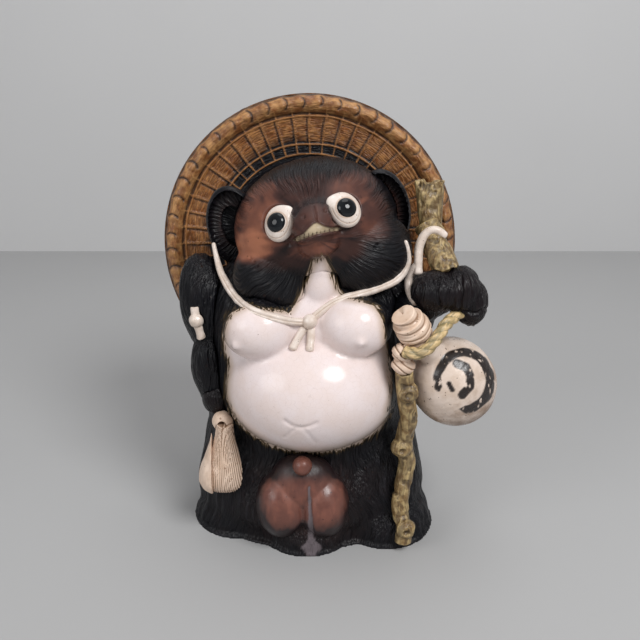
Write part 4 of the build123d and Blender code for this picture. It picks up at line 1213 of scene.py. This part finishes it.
# %% [markdown]
# The binding is one bump and one crescent cut for each rib. Sines of the bump's number shift and size it a
# little, as a hand would. Some ribs run over the lip, and the outer edge waves. The rim's own shadow is
# painted dark in the cuts, at its edges and on its lower side.

# %% The rolled rim
def rim_relief(local, radius, angle):
    """Presses one bump and its crescent cut a rib into the rim, and waves its outer edge. Marks the rim's
    painted shadow: in the cuts, at its edges, on its lower side and all over its back.
    """
    step = angle / RIB_PITCH - 0.5
    place = np.round(step)
    jitter = np.sin(place * 12.9) * 0.9
    grown = 1 + 0.16 * np.sin(place * 7.3)
    along = (step - place) * RIB_PITCH * RIM_MIDDLE - jitter
    across = radius - RIM_MIDDLE - 1.0 - 0.6 * np.sin(place * 4.1)
    front = local[:, 2] > 0
    ball = np.sqrt(((along - 0.8) / 2.8) ** 2 + (across / 4.4) ** 2) / grown
    bump = np.clip(1 - ball**2, 0, 1)
    ring = np.sqrt(((along + 0.4) / 3.6) ** 2 + (across / 5.2) ** 2) / grown
    cut = np.exp(-(((ring - 0.92) / 0.20) ** 2)) * step_up(0.6, -2.0, along)
    rib, _ = rib_line(angle, radius, 1.8)
    run_over = rib * step_up(LATTICE_EDGE + 5.5, LATTICE_EDGE + 3.5, radius) * front
    lumpy = clouds(local, 7 * MM, 71) - 0.5
    heights = (0.6 * bump - 1.7 * cut + 0.5 * run_over + 1.2 * lumpy) * front
    local[:, 2] += heights * MM
    wave = 0.5 * np.cos(step * 2 * math.pi) + 0.9 * (clouds(local, 20 * MM, 72) - 0.5) - 0.98
    outer = step_up(RIM_MIDDLE, HAT_EDGE, radius)
    local[:, :2] *= (1 + wave * outer / np.maximum(radius, 1))[:, None]
    # Painted shadow at the outer edge, along the lip beside the lattice and on the lower side, with each
    # crescent cut.
    edge_shade = step_up(HAT_EDGE - 2.6, HAT_EDGE - 0.6, radius) * 0.8
    lip_shade = step_up(LATTICE_EDGE + 1.6, LATTICE_EDGE + 0.2, radius) * 0.85 * (1 - run_over)
    low = step_up(-0.25, -0.6, np.sin(angle))
    soot_and_shade = np.maximum.reduce([0.85 * cut * front, edge_shade, lip_shade * front, 0.5 * low])
    notes = {
        "pale": np.clip(0.45 * bump + 0.6 * run_over, 0, 1) * front,
        "soot_and_shade": np.where(front, soot_and_shade, 0.55),
        "wear_and_shading": lumpy * 0.8 - 0.6 * cut,
    }
    return local, notes


rim_profile = []
for half in (0, 1):
    for k in range(RIM_ARC):
        radius = RIM_MIDDLE - RIM_HALF_WIDTH * math.cos(math.pi * (half + k / RIM_ARC))
        bulge = rim_height(radius)
        rim_profile.append((radius, bulge if half == 0 else -bulge))
rim_mesh = turned("hat_rim_skin", rim_profile, 768)
hat_shape(rim_mesh, rim_relief)
note_flow(rim_mesh, hat_flow(rim_mesh))
hat_rim = place_piece("hat_rim_skin", rim_mesh, "hat_rim", slot="straw_glaze")
print("rim", len(rim_mesh.polygons), "faces")

# %% [markdown]
# ## Arms, paws, tail and pouch
# These are solid lumps of clay with combed fur, so each gets its own skin with locks and strands pressed
# in along the limb. The paws have short finger lobes with finer lines. The pouch is bare, and a trickle of
# grey glaze has run down the crease between its two lobes.

# %% Furred lumps
def furry(name, node, cell, start, end, lock, depth, seed, warm=0.0):
    """A combed lump of clay, with strokes along the line from start to end."""
    mesh = skin_over(name, [node], cell, 3)
    points = points_of(mesh)
    along = np.array(end) - np.array(start)
    along = along / np.linalg.norm(along)
    run = (points - start) @ along
    across = points - start - run[:, None] * along
    bend = (clouds(points, 18 * MM, seed) - 0.5) * 9 * MM
    flow = np.stack([across[:, 0] + bend, across[:, 1] - bend + across[:, 2] * 0.6, run], axis=1)
    locks = clouds(flow, (lock * MM, lock * MM, lock * 7 * MM), seed + 1)
    strands = clouds(flow, (lock * 0.5 * MM, lock * 0.5 * MM, lock * 4 * MM), seed + 2)
    press(mesh, depth * (0.6 * locks + 0.4 * strands - 0.3))
    note_flow(mesh, flow)
    note(mesh, "warm", warm * np.ones(len(points)))
    note(mesh, "wear_and_shading", wear_of(mesh))
    return place_piece(name, mesh, node, slot="dark_glaze")


limbs = [
    furry("arm_right_skin", "arm_right", 1.0, spot(-80, -10, 230), spot(-84, -40, 120), 3.6, 2.1, 81),
    furry("arm_left_skin", "arm_left", 1.0, spot(60, -10, 230), spot(105, -55, 205), 3.6, 2.0, 84),
    furry("paw_right_skin", "paw_right", 0.8, spot(-80, -40, 135), spot(-76, -48, 105), 3.4, 1.4, 87, 0.12),
    furry("paw_left_skin", "paw_left", 0.8, spot(112, -60, 235), spot(112, -66, 200), 3.0, 2.0, 90, 0.10),
    furry("tail_skin", "tail", 1.1, spot(0, 80, 70), spot(0, 95, 5), 4.5, 1.8, 93),
]
print("limbs", [len(limb.data.polygons) for limb in limbs])

# %% [markdown]
# The left paw is a fist round the flask's rope, and three folds part its fingers.

# %% Fold the fist
FIST_FOLDS = (
    (((461, 274), (462, 292), (459, 314)), 2.0),
    (((440, 276), (438, 292), (441, 308)), 1.4),
    (((463, 312), (476, 314), (486, 308)), 1.8),
)
fist_mesh = next(limb for limb in limbs if limb.name == "paw_left_skin").data
fist_marks = seen_at(points_of(fist_mesh))
for fold, width in FIST_FOLDS:
    press(fist_mesh, 2.0 * groove(fist_marks, fold, width))
print("folds in the fist:", len(FIST_FOLDS))

# %% [markdown]
# Painted shade darkens the pouch where it turns away from the eye, under the belly, at its foot and a little
# in its crease, and dark tufts are brushed at its lower left. The same trickle that runs over the body goes
# on down the crease.

# %% The pouch and its knob
pouch_mesh = skin_over("pouch_skin", ["lucky_pouch"], 0.9, 6)
pouch_points, pouch_marks, pouch_front = look_at(pouch_mesh)
crease_line = groove(pouch_marks, DRIP, 2.2) * pouch_front
press(pouch_mesh, 0.9 * crease_line + 0.5 * clouds(pouch_points, 11 * MM, 101))
note_flow(pouch_mesh, pouch_points)
note(pouch_mesh, "drip", trickle(pouch_marks, pouch_points) * pouch_front)
tufts = step_up(276, 264, pouch_marks[:, 0]) * step_up(500, 525, pouch_marks[:, 1])
# Painted shadow under the belly, at the top of the pouch.
under_belly_shade = step_up(492, 470, pouch_marks[:, 1])
to_eye = EYE - pouch_points
to_eye /= np.linalg.norm(to_eye, axis=1)[:, None]
squareness = np.einsum("ij,ij->i", normals_of(pouch_mesh), to_eye)
squareness += 0.25 * (clouds(pouch_points, (3 * MM, 3 * MM, 9 * MM), 103) - 0.5)
# Painted shade where the pouch turns away from the eye, and at its foot.
edge_shade = step_up(0.78, 0.22, squareness)
foot_shade = 0.7 * step_up(516, 540, pouch_marks[:, 1])
pouch_shade_and_soot = 0.9 * under_belly_shade + 0.6 * tufts + 0.25 * crease_line + edge_shade + foot_shade
note(pouch_mesh, "soot_and_shade", np.clip(pouch_shade_and_soot, 0, 0.93))
note(pouch_mesh, "wear_and_shading", wear_of(pouch_mesh))
pouch = place_piece("pouch_skin", pouch_mesh, "lucky_pouch", slot="pouch_brown")
knob_mesh = skin_over("pouch_knob_skin", ["pouch_knob"], 0.6, 6)
note_flow(knob_mesh, points_of(knob_mesh))
note(knob_mesh, "wear_and_shading", wear_of(knob_mesh))
pouch_knob = place_piece("pouch_knob_skin", knob_mesh, "pouch_knob", slot="pouch_brown")
print("pouch", len(pouch_mesh.polygons), "knob", len(knob_mesh.polygons), "faces")

# %% [markdown]
# ## Rolled strings
# The cords, the ties and the rope are rolled strings of clay, laid on while soft. Each follows its route
# on one smooth curve. A flat grid is wrapped round the curve, its ends are drawn in to a point, and a rule
# for the radius makes one string, a pair side by side, or a twist.

# %% Wrap a string round its route
STRING_STEP = 0.7
TIP_LENGTH = 2.4
TIP_WELD = 0.01 * MM
BODY_SIZE = np.array((106.0, 86.0, 245.0))


def route_of(places):
    """The middle line of a string: the points of a smooth curve through its control places."""
    curve = bpy.data.curves.new("route", "CURVE")
    curve.dimensions = "3D"
    spline = curve.splines.new("NURBS")
    spline.points.add(len(places) - 1)
    for point, place in zip(spline.points, places):
        point.co = (*place, 1.0)
    spline.use_endpoint_u = True
    spline.order_u = 3
    spline.resolution_u = 10
    holder = bpy.data.objects.new("route", curve)
    scene.collection.objects.link(holder)
    line = live_mesh(holder)
    points = points_of(line)
    bpy.data.objects.remove(holder)
    bpy.data.meshes.remove(line)
    return points


def frames_along(route):
    """Even steps along a route, with two directions across it that don't spin round it."""
    length = np.concatenate([[0], np.cumsum(np.linalg.norm(np.diff(route, axis=0), axis=1))])
    rings = max(int(length[-1] / (STRING_STEP * MM)), 8)
    runs = np.linspace(0, length[-1], rings + 1)
    middle = np.stack([np.interp(runs, length, route[:, k]) for k in range(3)], axis=1)
    ahead = np.gradient(middle, axis=0)
    ahead /= np.linalg.norm(ahead, axis=1)[:, None]
    sides = [np.cross(ahead[0], (0.3, 0.2, 1.0))]
    for forward in ahead[1:]:
        sides.append(sides[-1] - forward * (sides[-1] @ forward))
    sides = np.array([side / np.linalg.norm(side) for side in sides])
    return runs, middle, sides, np.cross(ahead, sides)


def wrap(name, route, radius, around=24):
    """A closed string along a route. Its radius rule takes the angle from the front and the run."""
    runs, middle, sides, ups = frames_along(route)
    rings = len(runs) - 1
    form = bmesh.new()
    bmesh.ops.create_grid(form, x_segments=around, y_segments=rings, size=1.0)
    mesh = bpy.data.meshes.new(name)
    form.to_mesh(mesh)
    form.free()
    grid = points_of(mesh)
    turn = (grid[:, 0] + 1) * math.pi
    ring = np.clip(np.round((grid[:, 1] + 1) / 2 * rings).astype(int), 0, rings)
    run = runs[ring] / MM
    span = runs[-1] / MM
    to_eye = EYE - middle
    front_turn = np.arctan2(np.einsum("ij,ij->i", to_eye, ups), np.einsum("ij,ij->i", to_eye, sides))
    wide = radius(turn - front_turn[ring], run, span)
    tip = np.minimum(run, span - run)
    wide = wide * np.sqrt(np.clip(1 - (1 - np.clip(tip / TIP_LENGTH, 0, 1)) ** 2, 0, 1))
    arm = np.cos(turn)[:, None] * sides[ring] + np.sin(turn)[:, None] * ups[ring]
    put_points(mesh, middle[ring] + arm * (wide * MM)[:, None])
    note_flow(mesh, np.stack([np.cos(turn) * 4, np.sin(turn) * 4, run], axis=1) * MM)
    form = bmesh.new()
    form.from_mesh(mesh)
    bmesh.ops.remove_doubles(form, verts=form.verts, dist=TIP_WELD)
    bmesh.ops.recalc_face_normals(form, faces=form.faces)
    form.to_mesh(mesh)
    form.free()
    note(mesh, "wear_and_shading", wear_of(mesh))
    return mesh


def plain_string(thickness, seed):
    """The rule for a hand-rolled string: its thickness wanders a little."""

    def rule(turn, run, span):
        place = np.stack([np.cos(turn) * 3, np.sin(turn) * 3, run], axis=1)
        return thickness / 2 * (0.90 + 0.16 * clouds(place, (3.0, 3.0, 7.0), seed))

    return rule


def on_body(*shares):
    """A place given as shares of the body's half width, half depth and height."""
    return spot(*(np.array(shares) * BODY_SIZE))


print("the throat is at", on_body(0, -0.885, 0.826))

# %% [markdown]
# Places on the strings are shares of the body's size, read where the photograph shows each bend. The neck
# cord is a pair of strings side by side on each shoulder, and they meet in the knot. The knot and the small
# bow on the sleeve are short and thick, so they are skins over their solids.

# %% The neck cords and the ties
NECK_CORD_RIGHT = (
    (-0.739, -0.21, 1.02), (-0.70, -0.31, 0.945), (-0.632, -0.45, 0.905), (-0.543, -0.65, 0.875),
    (-0.418, -0.95, 0.873), (-0.238, -0.985, 0.852), (-0.09, -0.885, 0.824), (0.01, -0.875, 0.826),
)
NECK_CORD_LEFT = (
    (0.706, -0.60, 1.065), (0.745, -0.60, 1.015), (0.728, -0.605, 0.972), (0.652, -0.668, 0.9385),
    (0.529, -0.722, 0.9195), (0.38, -0.735, 0.90), (0.246, -0.80, 0.893), (0.143, -0.825, 0.874),
    (0.01, -0.875, 0.828),
)
CORD_TAIL_RIGHT = ((-0.02, -0.885, 0.81), (-0.085, -0.91, 0.772), (-0.119, -0.975, 0.741))
CORD_TAIL_LEFT = ((0.02, -0.885, 0.81), (0.022, -0.92, 0.765), (0.008, -0.995, 0.738))
TIE_LOOP = (
    (0.82, -0.58, 0.945), (0.81, -0.52, 1.00), (0.835, -0.47, 1.055),
    (0.90, -0.46, 1.085), (0.97, -0.47, 1.085), (1.02, -0.46, 1.06),
)
TIE_HANGING = (
    (0.83, -0.55, 0.985), (0.775, -0.52, 0.958), (0.745, -0.52, 0.915), (0.755, -0.63, 0.885),
    (0.80, -0.74, 0.868),
)


def double_string(thickness, seed):
    """The rule for two strings laid side by side, with a groove along the front between them."""

    def rule(turn, run, span):
        parting = np.exp(-((np.angle(np.exp(1j * (turn - 0.2))) / 0.24) ** 2))
        slim = 0.55 + 0.45 * step_up(0, 40, run)
        return plain_string(thickness, seed)(turn, run, span) * (slim - 0.26 * parting * step_up(10, 40, run))

    return rule


def lay_string(node, shares, rule, slot, around=24):
    """Makes a string in place of its construction node."""
    mesh = wrap(node + "_skin", route_of([on_body(*place) for place in shares]), rule, around)
    return place_piece(node + "_skin", mesh, node, slot=slot)


cords = [
    lay_string("neck_cord_right", NECK_CORD_RIGHT, double_string(6.5, 111), "white_slip", 32),
    lay_string("neck_cord_left", NECK_CORD_LEFT, double_string(6.5, 112), "white_slip", 32),
    lay_string("cord_tail_right", CORD_TAIL_RIGHT, plain_string(6.5, 113), "white_slip"),
    lay_string("cord_tail_left", CORD_TAIL_LEFT, plain_string(6.5, 114), "white_slip"),
    lay_string("tie_loop", TIE_LOOP, plain_string(7.0, 115), "white_slip"),
    lay_string("tie_hanging", TIE_HANGING, plain_string(7.0, 116), "white_slip"),
]
for node in ("cord_knot", "sleeve_tie"):
    mesh = skin_over(node + "_skin", [node], 0.5, 3)
    press(mesh, 0.8 * clouds(points_of(mesh), 3.5 * MM, 117) - 0.4)
    note(mesh, "wear_and_shading", wear_of(mesh))
    cords.append(place_piece(node + "_skin", mesh, node, slot="white_slip"))
print("cords", len(cords))

# %% [markdown]
# ## The staff
# The staff is a crooked branch in three lengths. Its knots stick out and have a hole in the middle, its
# bark is cut with shallow lines, and its top is a hollow broken end.

# %% Shape the staff
def staff_part(node, cell, seed, depth):
    """One length of the branch, with bark lines along it and dents across it."""
    mesh = skin_over(node + "_skin", [node], cell, 3)
    points = points_of(mesh)
    flow = points + (clouds(points, 8 * MM, seed)[:, None] - 0.5) * 4 * MM
    if node == "staff_top":
        broken = clouds(points, (4.5 * MM, 4.5 * MM, 1.0), seed + 3)
        points[:, 2] -= 9 * MM * broken * step_up(288 * MM, 301 * MM, points[:, 2])
        put_points(mesh, points)
    bark = clouds(flow, (3.0 * MM, 3.0 * MM, 13 * MM), seed + 1)
    dents = clouds(points, 5.5 * MM, seed + 2)
    press(mesh, depth * (0.6 * bark + 0.9 * step_up(0.55, 0.85, dents) - 0.5))
    note_flow(mesh, flow)
    note(mesh, "soot_and_shade", step_up(0.66, 0.95, dents) * 0.5)
    note(mesh, "wear_and_shading", wear_of(mesh) - 0.5 * step_up(0.6, 0.85, bark))
    return place_piece(node + "_skin", mesh, node, slot="staff_ochre")


staff = [
    staff_part("staff_lower", 0.7, 121, 1.1),
    staff_part("staff_middle", 0.7, 124, 1.5),
    staff_part("staff_top", 0.6, 127, 1.2),
]
print("staff", [len(part.data.polygons) for part in staff])

# %% [markdown]
# A strip of paper is wound round the staff, so its folds slant.

# %% Wind the paper round the staff
FOLD_PITCH = 6.5
wrap_mesh = skin_over("staff_wrap_skin", ["staff_wrap"], 0.6, 3)
wrap_points = points_of(wrap_mesh)
slant = wrap_points[:, 2] + 0.75 * wrap_points[:, 0]
folds = np.cos(slant / MM * 2 * math.pi / FOLD_PITCH + 2 * clouds(wrap_points, 9 * MM, 131))
press(wrap_mesh, 0.9 * step_up(0.3, 1.0, folds))
note(wrap_mesh, "wear_and_shading", wear_of(wrap_mesh) - 0.5 * step_up(0.5, 1.0, folds))
staff_wrap = place_piece("staff_wrap_skin", wrap_mesh, "staff_wrap", slot="paper_cream")
print("staff wrap", len(wrap_mesh.polygons), "faces")

# %% [markdown]
# ## The flask, its stopper and its rope
# The flask is a thrown egg with faint throwing rings, speckled cream slip and loose brush marks. Four coiled
# tiers make the stopper. The rope is a twisted string of clay that goes from the hand round the flask.

# %% Shape the flask
INK_MIDDLE = np.array((464.0, 381.0))
INK_RADIUS = 26.5
INK_DABS = (
    (((457, 363), (466, 367), (471, 376), (470, 387), (463, 395)), 4.2),
    (((449, 384), (452, 390)), 2.8),
)
FLASK_MIDDLE = np.array((105.66, -48.56, 142.8)) * MM
FLASK_AXIS = np.array((-0.524, -0.3273, 0.7863))
THROW_PITCH = 4.6
flask_mesh = skin_over("flask_skin", ["flask_body"], 1.0, 4)
flask_points = points_of(flask_mesh)
flask_rise = (flask_points - FLASK_MIDDLE) @ FLASK_AXIS
rings = np.cos(flask_rise / MM * 2 * math.pi / THROW_PITCH + 3 * clouds(flask_points, 30 * MM, 141))
press(flask_mesh, 0.05 * rings + 0.4 * clouds(flask_points, 13 * MM, 142))
flask_marks = seen_at(flask_points)
brush_drift = (clouds(flask_points, 7 * MM, 144) - 0.5) * 5
from_ring = np.linalg.norm((flask_marks - INK_MIDDLE) / (1.0, 1.08), axis=1) - INK_RADIUS
ring_reach = np.abs(from_ring) + brush_drift * 0.5
turn = np.arctan2(flask_marks[:, 1] - INK_MIDDLE[1], flask_marks[:, 0] - INK_MIDDLE[0])
ink = step_up(4.8, 3.6, ring_reach + 7.0 * step_up(0.75, 1.0, np.cos(turn - 2.2)))
for stroke, width in INK_DABS:
    ink = np.maximum(ink, step_up(width + 0.6, width - 0.6, to_line(flask_marks, stroke) + brush_drift * 0.4))
dry = step_up(0.14, 0.26, clouds(flask_points, (2 * MM, 2 * MM, 5 * MM), 145))
flask_front = np.einsum("ij,ij->i", normals_of(flask_mesh), EYE - flask_points) > 0
note(flask_mesh, "ink", ink * dry * flask_front)
note(flask_mesh, "rise", flask_rise / MM)
note(flask_mesh, "wear_and_shading", wear_of(flask_mesh))
flask = place_piece("flask_skin", flask_mesh, "flask_body", slot="white_slip")
print("flask", len(flask_mesh.polygons), "faces")

# %% [markdown]
# The stopper's tiers climb as they go round, so their grooves are screw lines on the flask's axis.

# %% Coil the stopper
COIL_PITCH = 7.0
stopper_mesh = skin_over("stopper_skin", ["flask_stopper"], 0.6, 3)
stopper_points = points_of(stopper_mesh)
stopper_run = ((stopper_points - FLASK_MIDDLE) @ FLASK_AXIS) / MM
offset = stopper_points - FLASK_MIDDLE - stopper_run[:, None] * FLASK_AXIS * MM
spin_turn = np.arctan2(offset[:, 2], offset[:, 0])
wobble = 1.5 * clouds(stopper_points, 8 * MM, 143)
layers = np.cos(stopper_run * 2 * math.pi / COIL_PITCH + spin_turn + wobble)
press(stopper_mesh, 0.7 * step_up(0.2, 1.0, layers))
note(stopper_mesh, "wear_and_shading", wear_of(stopper_mesh) - 0.4 * step_up(0.4, 1.0, layers))
stopper = place_piece("stopper_skin", stopper_mesh, "flask_stopper", slot="paper_cream")
print("stopper", len(stopper_mesh.polygons), "faces")

# %% [markdown]
# The rope's radius is greatest at three angles, which turn with the run, so three strands seem laid together.

# %% Twist the rope
FLASK_CORD = (
    (1.13, -0.76, 0.845), (1.01, -0.90, 0.83), (0.94, -1.02, 0.80),
    (0.86, -1.10, 0.765), (0.76, -1.11, 0.745), (0.68, -1.06, 0.755),
)


def twisted(thickness, lay):
    """The rule for a rope of three strands that turn once in each lay."""

    def rule(turn, run, span):
        phase = 3 * (turn - run * 2 * math.pi / lay)
        return thickness / 2 * (0.80 + 0.20 * np.abs(np.cos(phase / 2)))

    return rule


flask_rope = lay_string("flask_cord", FLASK_CORD, twisted(10.0, 26.0), "rope_green", 48)
print("rope", len(flask_rope.data.polygons), "faces")

# %% [markdown]
# ## The account book
# The book hangs from the belt as a bundle of leaves, tied at the top and fanned at the foot. The edges of
# its leaves are grooves that curve with the fan.

# %% Shape the book
BOOK_FOOT = on_body(-0.69, -0.74, 0.185)
BOOK_LENGTH = 62.0
BOOK_HALF_FOOT = 18.0
BOOK_TAPER = 11.0
LEAVES = 9.0
book_mesh = skin_over("account_book_skin", ["account_book"], 0.75, 2)
book_points = points_of(book_mesh)
book_rise = np.clip((book_points[:, 2] - BOOK_FOOT[2]) / (BOOK_LENGTH * MM), 0, 1)
fan_share = (book_points[:, 0] - BOOK_FOOT[0]) / ((BOOK_HALF_FOOT - BOOK_TAPER * book_rise) * MM)
leaves = fan_share * LEAVES + 0.7 * (clouds(book_points, (9 * MM, 9 * MM, 25 * MM), 151) - 0.5)
page_cut = step_up(0.35, 0.0, np.abs(leaves - np.round(leaves)))
press(book_mesh, 0.55 * page_cut + 0.35 * clouds(book_points, 7 * MM, 152))
note_flow(book_mesh, np.stack([leaves * 2 * MM, book_points[:, 1], book_points[:, 2]], axis=1))
note(book_mesh, "wear_and_shading", wear_of(book_mesh) - 0.75 * page_cut)
book = place_piece("account_book_skin", book_mesh, "account_book", slot="paper_cream")
papers = [staff_wrap, stopper, book]
for node, seed in (("book_cover", 153), ("book_knot", 154)):
    mesh = skin_over(node + "_skin", [node], 0.6, 2)
    points = points_of(mesh)
    press(mesh, 0.7 * clouds(points, 5 * MM, seed) - 0.3)
    note_flow(mesh, points)
    note(mesh, "wear_and_shading", wear_of(mesh))
    papers.append(place_piece(node + "_skin", mesh, node, slot="paper_cream"))
print("book", len(book_mesh.polygons), "faces,", len(papers), "papers")

# %% [markdown]
# ## The last two glazes, and which piece gets which
# The flask is speckled cream, brown at its foot where the flame reached it, with a brushed ring. The pouch
# is brown with a grey trickle. One table then gives each finished piece its glaze.

# %% The glazes of the flask and the pouch
def flask_glaze():
    """Speckled cream slip with brown kiln colour low on the flask and a brushed ring and dabs."""
    glaze, tree, shader, place = new_glaze("flask_glaze")
    blush = use_group(tree, blush_group, Place=place, Size=12.0)
    crackle = use_group(tree, crackle_group, Place=place, Cell=3.4)
    clean = tint(tree, maths(tree, "MULTIPLY", blush["Blush"], 0.5), (0.76, 0.63, 0.54), (0.50, 0.37, 0.27))
    flame_height = maths(tree, "MULTIPLY_ADD", blush["Blush"], -22.0, noted(tree, "rise"))
    low = soft_step(tree, flame_height, -46.0, 2.0, 0.85, 0.0)
    browned = tint(tree, low, clean, (0.20, 0.105, 0.055))
    brushed = tint(tree, noted(tree, "ink"), browned, (0.020, 0.014, 0.012))
    holed = tint(tree, maths(tree, "MULTIPLY", crackle["Pinhole"], 0.9), brushed, (0.06, 0.03, 0.02))
    specked = tint(tree, maths(tree, "MULTIPLY", blush["Speck"], 0.8), holed, (0.09, 0.05, 0.03))
    wire(tree, specked, shader.inputs["Base Color"])
    wire(tree, soft_step(tree, blush["Blush"], 0.0, 1.0, 0.22, 0.38), shader.inputs["Roughness"])
    raise_relief(tree, shader, maths(tree, "SUBTRACT", blush["Blush"], crackle["Pinhole"]), 0.16)
    return glaze


def drip_glaze(base):
    """The pouch's brown glaze, with the grey trickle down its crease."""
    tree = base.node_tree
    shader = tree.nodes["Principled BSDF"]
    under = shader.inputs["Base Color"].links[0].from_socket
    share = maths(tree, "MULTIPLY", noted(tree, "drip"), 0.85)
    wire(tree, tint(tree, share, under, TRICKLE_GREY), shader.inputs["Base Color"])


drip_glaze(pouch_glaze)
flask_paint = flask_glaze()
print("glazes", len(bpy.data.materials))


# %% Glaze every piece
finishes = {
    body_glaze: [body_front, body_back],
    face_glaze: [head],
    ear_glaze: ears,
    dark_glaze: limbs,
    eye_glaze: eye_pieces[:2],
    eye_bead_glaze: eye_pieces[2:],
    straw_glaze: [hat],
    rim_glaze: [hat_rim],
    pouch_glaze: [pouch, pouch_knob],
    cord_glaze: cords,
    wood_glaze: staff,
    rope_glaze: [flask_rope],
    paper_glaze: papers,
    flask_paint: [flask],
}
for glaze, pieces in finishes.items():
    for piece in pieces:
        piece.data.materials.clear()
        piece.data.materials.append(glaze)
print("glazed pieces", sum(len(pieces) for pieces in finishes.values()))

# %% [markdown]
# ## The studio
# The photograph has a pale floor, a pale wall and soft light from the right and above. Both planes are plain
# matt paint and belong to the stage, not to the figure. Three round lamps and a weak even sky keep the
# white slip just under full white.

# %% Floor and wall
ROOM_HALF = 3.0
WALL_BEHIND = 0.83
FLOOR_GREY = (0.41, 0.41, 0.41)
WALL_GREY = (0.59, 0.59, 0.59)


def room_paint(name, colour):
    """Matt paint with a faint unevenness, for the floor and the wall."""
    paint, tree, shader, place = new_glaze(name)
    soft = lumps(tree, place, 3.0, 2.0)
    wire(tree, tint(tree, soft, colour, tuple(c * 0.94 for c in colour)), shader.inputs["Base Color"])
    shader.inputs["Roughness"].default_value = 0.75
    return paint


def stage_plane(name, corners):
    """A flat square of the room, which isn't part of the figure."""
    form = bmesh.new()
    form.faces.new([form.verts.new(corner) for corner in corners])
    mesh = bpy.data.meshes.new(name)
    form.to_mesh(mesh)
    form.free()
    plane = bpy.data.objects.new(name, mesh)
    scene.collection.objects.link(plane)
    return plane


near_left = (-ROOM_HALF, -ROOM_HALF, 0)
near_right = (ROOM_HALF, -ROOM_HALF, 0)
far_left = (-ROOM_HALF, WALL_BEHIND, 0)
far_right = (ROOM_HALF, WALL_BEHIND, 0)
top_left = (-ROOM_HALF, WALL_BEHIND, ROOM_HALF)
top_right = (ROOM_HALF, WALL_BEHIND, ROOM_HALF)
floor = stage_plane("floor", (near_left, near_right, far_right, far_left))
wall = stage_plane("wall", (far_left, far_right, top_right, top_left))
floor.data.materials.append(room_paint("floor_paint", FLOOR_GREY))
wall.data.materials.append(room_paint("wall_paint", WALL_GREY))
print("room", 2 * ROOM_HALF, "m wide")


# %% Lamps and sky
FIGURE_MIDDLE = (0, 0, 0.18)
SKY_COLOUR = (0.97, 0.97, 1.0, 1)
SKY_STRENGTH = 0.34


def soft_lamp(name, place, aim, size, power):
    """A round studio lamp turned towards a place on the figure."""
    lamp = bpy.data.lights.new(name, "AREA")
    lamp.shape = "DISK"
    lamp.size = size
    lamp.energy = power
    holder = bpy.data.objects.new(name, lamp)
    holder.location = place
    holder.rotation_euler = (Vector(aim) - Vector(place)).to_track_quat("-Z", "Y").to_euler()
    scene.collection.objects.link(holder)


soft_lamp("key_lamp", (0.75, -1.0, 1.5), FIGURE_MIDDLE, size=0.8, power=25)
soft_lamp("fill_lamp", (-1.2, -0.9, 0.9), FIGURE_MIDDLE, size=0.9, power=7.6)
soft_lamp("top_lamp", (0.1, 0.3, 1.7), (0, 0, 0.1), size=1.0, power=4.6)
world = bpy.data.worlds.new("studio")
scene.world = world
world.use_nodes = True
sky = world.node_tree.nodes["Background"]
sky.inputs["Color"].default_value = SKY_COLOUR
sky.inputs["Strength"].default_value = SKY_STRENGTH
scene.view_settings.view_transform = "Standard"
print("lamps", len(bpy.data.lights))
